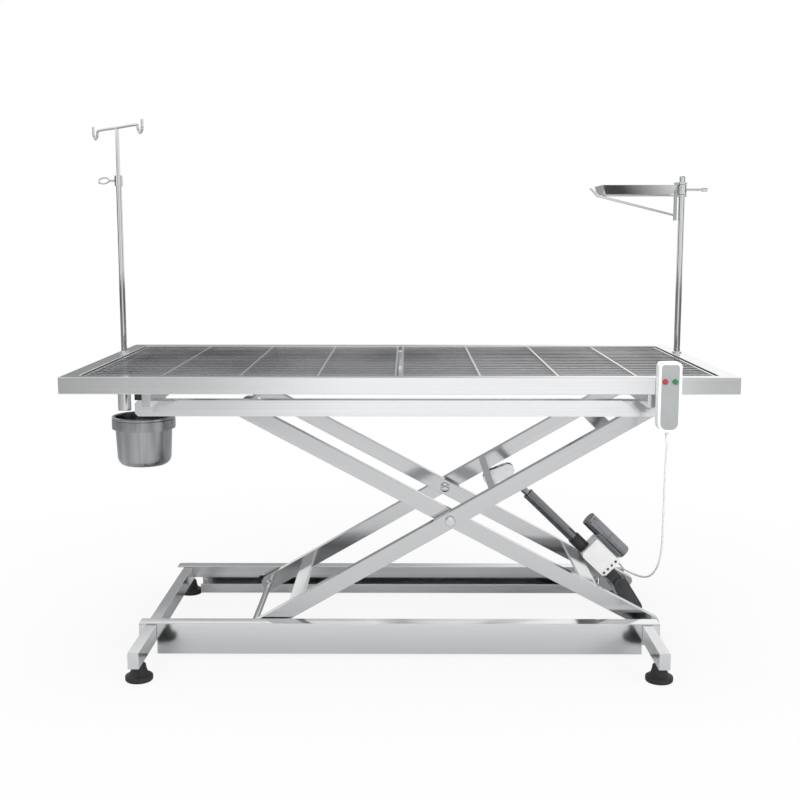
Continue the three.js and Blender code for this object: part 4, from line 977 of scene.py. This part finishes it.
seat(screw, "drip_screw", steel_polished, "steel", "iv_thumbscrew")

HOOK_TURN = math.radians(51.7)
HOOK_Z = 1.01596
HOOK_WIRE = 2.95 * MM


def hook_point(w, z):
    """A point w out along the hooks and z above them, in millimetres."""
    return (
        IV_X + w * MM * math.cos(HOOK_TURN),
        POLE_Y - w * MM * math.sin(HOOK_TURN),
        HOOK_Z + z * MM,
    )


half_hook = [(85, 0), (94, -1), (97, -4), (98, -10), (107, -17), (116, -10), (117, 0), (117, 9)]
hook_route = [(-w, z) for w, z in reversed(half_hook)] + [(0, 0)] + half_hook
hook_line = smooth_route([hook_point(w, z) for w, z in hook_route], HOOK_STEPS)
hooks = tube("drip_hooks", hook_line, HOOK_WIRE, 16)
rod_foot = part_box("iv_rod")[0][2]
rod_rings = [(3.4, 0), (4, 0.6), (4, 236.6), (3.6, 237.6), (2.0, 238.4)]
drip_rod = turned("drip_rod", rod_rings, (IV_X, POLE_Y, rod_foot), sides=32)
weld(drip_rod, hooks)
seat(drip_rod, "drip_rod", steel_polished, "steel", "iv_rod")


# Tray stand

TRAY_ARM_EDGE = 0.6 * MM
pole_low, pole_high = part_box("tray_pole")
STAND_X = (pole_low[0] + pole_high[0]) / 2
pole_rings = [
    (10.0, 0.0),
    (10.0, 2.2),
    (9.0, 3.0),
    (6.5, 3.0),
    (6.5, 366.0),
    (5.8, 367.0),
    (2.0, 367.0),
]
tray_pole = turned("tray_pole_turned", pole_rings, (STAND_X, POLE_Y, pole_low[2]))
seat(tray_pole, "top", steel_polished, "steel", "tray_pole")
clamp_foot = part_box("tray_clamp")[0][2]
clamp_rings = [(8.8, 0), (10, 1.0), (10, 20.0), (8.8, 21.0)]
clamp = turned("tray_clamp_turned", clamp_rings, (STAND_X, POLE_Y, clamp_foot))
seat(clamp, "clamp", steel_polished, "steel", "tray_clamp")
knob_low, knob_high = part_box("tray_knob")
knob_z = (knob_low[2] + knob_high[2]) / 2
knob_length = (knob_high[0] - knob_low[0]) / MM
knob_rings = [
    (2.2, 0),
    (2.5, 0.4),
    (2.5, knob_length - 13.4),
    (3.4, knob_length - 12.9),
    (4.0, knob_length - 12.0),
    (4.0, knob_length - 2.0),
    (3.2, knob_length - 0.4),
    (2.0, knob_length),
]
knob = turned("clamp_screw", knob_rings, (knob_low[0], POLE_Y, knob_z), (1, 0, 0))
seat(knob, "clamp_knob", steel_polished, "steel", "tray_knob")
dress("tray_arm", steel_polished, "steel", TRAY_ARM_EDGE)
dress("tray", steel_polished, "steel", SHEET_EDGE)


# Hand pendant

PENDANT_EDGE = 2.4 * MM
PENDANT_SHARP = 50
FACE_EDGE = 0.3 * MM
HOLDER_EDGE = 0.4 * MM

dress("pendant_body", white_abs, "white_plastic", PENDANT_EDGE, 4, PENDANT_SHARP)
dress("pendant_face", grey_abs, "grey_plastic", FACE_EDGE)
dress("pendant_holder", steel_polished, "steel", HOLDER_EDGE)


def key(node, finish, slot):
    """Round push button with a domed cap."""
    low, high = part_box(node)
    middle = (low + high) / 2
    rings = [(4.0, 0), (4.5, 0.4), (4.5, 8.2), (4.2, 9.2), (3.3, 9.75), (1.8, 10.0), (0.6, 10.0)]
    piece = turned(node + "_cap", rings, (middle[0], high[1], middle[2]), (0, -1, 0), 40)
    return seat(piece, body_of_node[node], finish, slot, node)


key("button_red", red_key, "red_plastic")
key("button_green", green_key, "green_plastic")


# Studio: pale floor, white surround, soft lamps and grey cards for the steel to mirror

FLOOR_SIZE = 30
FLOOR_DROP = 0.4 * MM
# The floor seen by the camera turns from this share of white to full white between these distances.
FLOOR_WHITE_NEAR = 0.9
WHITEN_FROM = 0.5
WHITEN_TO = 1.5
SURROUND_STRENGTH = 0.4


def floor_and_surround():
    """A floor that whitens away from the table, and a world that is white to the eye and to steel."""
    clear_selection()
    bpy.ops.mesh.primitive_plane_add(size=FLOOR_SIZE, location=(0, 0, -FLOOR_DROP))
    floor = bpy.context.object
    floor.name = "Studio_Floor"
    bpy.ops.object.transform_apply(location=True, rotation=True, scale=True)
    material, tree, output = blank_material("Studio_Floor_White")
    path = add(tree, "ShaderNodeLightPath")
    seen = add(
        tree,
        "ShaderNodeMath",
        {"operation": "MAXIMUM"},
        {0: path.outputs["Is Camera Ray"], 1: path.outputs["Is Transmission Ray"]},
    )
    spot = add(tree, "ShaderNodeTexCoord").outputs["Object"]
    away = add(tree, "ShaderNodeVectorMath", {"operation": "LENGTH"}, {0: spot})
    whiteness = add(
        tree,
        "ShaderNodeMapRange",
        inputs={
            "Value": away.outputs["Value"],
            "From Min": WHITEN_FROM,
            "From Max": WHITEN_TO,
            "To Min": FLOOR_WHITE_NEAR,
            "To Max": 1.0,
        },
    )
    share = add(
        tree,
        "ShaderNodeMath",
        {"operation": "MULTIPLY"},
        {0: seen.outputs[0], 1: whiteness.outputs["Result"]},
    )
    plain = add(tree, "ShaderNodeBsdfDiffuse", inputs={"Color": linear("#d2d2d2")})
    glow = add(tree, "ShaderNodeEmission", inputs={"Color": (1, 1, 1, 1), "Strength": 1.0})
    mixed = add(
        tree,
        "ShaderNodeMixShader",
        inputs={0: share.outputs[0], 1: plain.outputs[0], 2: glow.outputs[0]},
    )
    tree.links.new(mixed.outputs[0], output.inputs["Surface"])
    floor.data.materials.append(material)

    world = bpy.data.worlds.new("Studio_Surround")
    world.use_nodes = True
    tree = world.node_tree
    tree.nodes.clear()
    output = add(tree, "ShaderNodeOutputWorld")
    path = add(tree, "ShaderNodeLightPath")
    seen = add(
        tree,
        "ShaderNodeMath",
        {"operation": "MAXIMUM"},
        {0: path.outputs["Is Camera Ray"], 1: path.outputs["Is Glossy Ray"]},
    )
    seen_all = add(
        tree,
        "ShaderNodeMath",
        {"operation": "MAXIMUM"},
        {0: seen.outputs[0], 1: path.outputs["Is Transmission Ray"]},
    )
    white = add(tree, "ShaderNodeBackground", inputs={"Color": (1, 1, 1, 1), "Strength": 1.0})
    soft = add(
        tree,
        "ShaderNodeBackground",
        inputs={"Color": linear("#f4f6f8"), "Strength": SURROUND_STRENGTH},
    )
    mixed = add(
        tree,
        "ShaderNodeMixShader",
        inputs={0: seen_all.outputs[0], 1: soft.outputs[0], 2: white.outputs[0]},
    )
    tree.links.new(mixed.outputs[0], output.inputs["Surface"])
    bpy.context.scene.world = world


def lamp(name, place, aim, size, power):
    """A round soft lamp that the steel does not mirror."""
    data = bpy.data.lights.new(name, "AREA")
    data.shape = "DISK"
    data.size = size
    data.energy = power
    made = bpy.data.objects.new(name, data)
    bpy.context.scene.collection.objects.link(made)
    made.location = place
    made.rotation_mode = "QUATERNION"
    made.rotation_quaternion = (Vector(aim) - Vector(place)).to_track_quat("-Z", "Y")
    made.visible_glossy = False


def mirror_card(name, place, aim, width, height, stops):
    """A card outside the picture that only the steel mirrors.
    stops are its tones along its width. They run from -X to +X on the cards in front, behind and
    below, from +X to -X on the roof cards, and along Y on the cards at the ends."""
    clear_selection()
    bpy.ops.mesh.primitive_plane_add(size=1, location=(0, 0, 0))
    card = bpy.context.object
    card.name = name
    card.scale = (width, height, 1)
    bpy.ops.object.transform_apply(location=False, rotation=False, scale=True)
    material, tree, output = blank_material(name + "_Grade")
    place_on_card = add(tree, "ShaderNodeTexCoord").outputs["Object"]
    spot = add(tree, "ShaderNodeSeparateXYZ", inputs={0: place_on_card})
    start_edge = width / 2 if place[1] < aim[1] else -width / 2
    where = add(
        tree,
        "ShaderNodeMapRange",
        inputs={"Value": spot.outputs["X"], "From Min": start_edge, "From Max": -start_edge},
    )
    grade = add(tree, "ShaderNodeValToRGB", {"stops": stops}, {"Fac": where.outputs["Result"]})
    glow = add(tree, "ShaderNodeEmission", inputs={"Color": grade.outputs["Color"], "Strength": 1.0})
    tree.links.new(glow.outputs[0], output.inputs["Surface"])
    card.data.materials.append(material)
    card.location = place
    card.rotation_mode = "QUATERNION"
    card.rotation_quaternion = (Vector(place) - Vector(aim)).to_track_quat("-Z", "Y")
    card.visible_camera = False
    card.visible_diffuse = False
    card.visible_shadow = False
    card.visible_transmission = False


floor_and_surround()
lamp("Key_Lamp", (-1.6, -3.0, 3.0), (0, 0, 0.4), 2.4, 90)
lamp("Fill_Lamp", (2.6, -2.4, 1.6), (0, 0, 0.4), 2.0, 60)
lamp("Top_Lamp", (0.0, 0.2, 3.6), (0, 0, 0.5), 2.2, 70)
mirror_card(
    "Front_Card",
    (0.0, -2.9, 1.205),
    (0, 0, 1.205),
    3.2,
    2.4,
    [
        (0.0, "#a0a0a0"),
        (0.11, "#b2b2b2"),
        (0.25, "#cacaca"),
        (0.43, "#ffffff"),
        (0.78, "#ffffff"),
        (0.89, "#c2c2c2"),
    ],
)
mirror_card(
    "Back_Card",
    (0.0, 4.6, 1.1),
    (0, 0, 1.1),
    4.4,
    1.2,
    [(0.0, "#8e8f90"), (0.5, "#a6a7a8"), (0.75, "#ffffff")],
)
mirror_card(
    "Low_Card",
    (0.88, -1.3, 0.012),
    (0.88, -1.3, 1),
    0.42,
    0.8,
    [(0.0, "#3a3a3b"), (0.2, "#505051"), (0.72, "#ffffff")],
)
mirror_card(
    "Roof_Card",
    (0.0, 0.3, 4.2),
    (0, 0.3, 0),
    3.4,
    1.6,
    [(0.0, "#8a8b8c"), (0.4, "#9a9b9c"), (0.64, "#ffffff")],
)
EDGE_DARK = [(0.0, "#121213"), (1.0, "#1c1c1d")]
mirror_card("Roof_Edge_Card", (0.0, -1.25, 4.2), (0, -1.25, 0), 3.4, 1.4, EDGE_DARK)
mirror_card("Roof_Left_Card", (-3.0, -1.0, 4.2), (-3.0, -1.0, 0), 2.2, 2.4, EDGE_DARK)
mirror_card("Roof_Right_Card", (3.0, -1.0, 4.2), (3.0, -1.0, 0), 2.2, 2.4, EDGE_DARK)
mirror_card("Left_Card", (-4.0, -0.5, 1.2), (0, 0, 0.5), 2.6, 1.6, [(0.0, "#303133"), (1.0, "#505254")])
mirror_card("Right_Card", (4.0, -0.8, 0.7), (0, 0, 0.4), 1.6, 1.0, [(0.0, "#3a3b3d"), (1.0, "#5a5c5e")])

bpy.context.scene.view_settings.view_transform = "Standard"
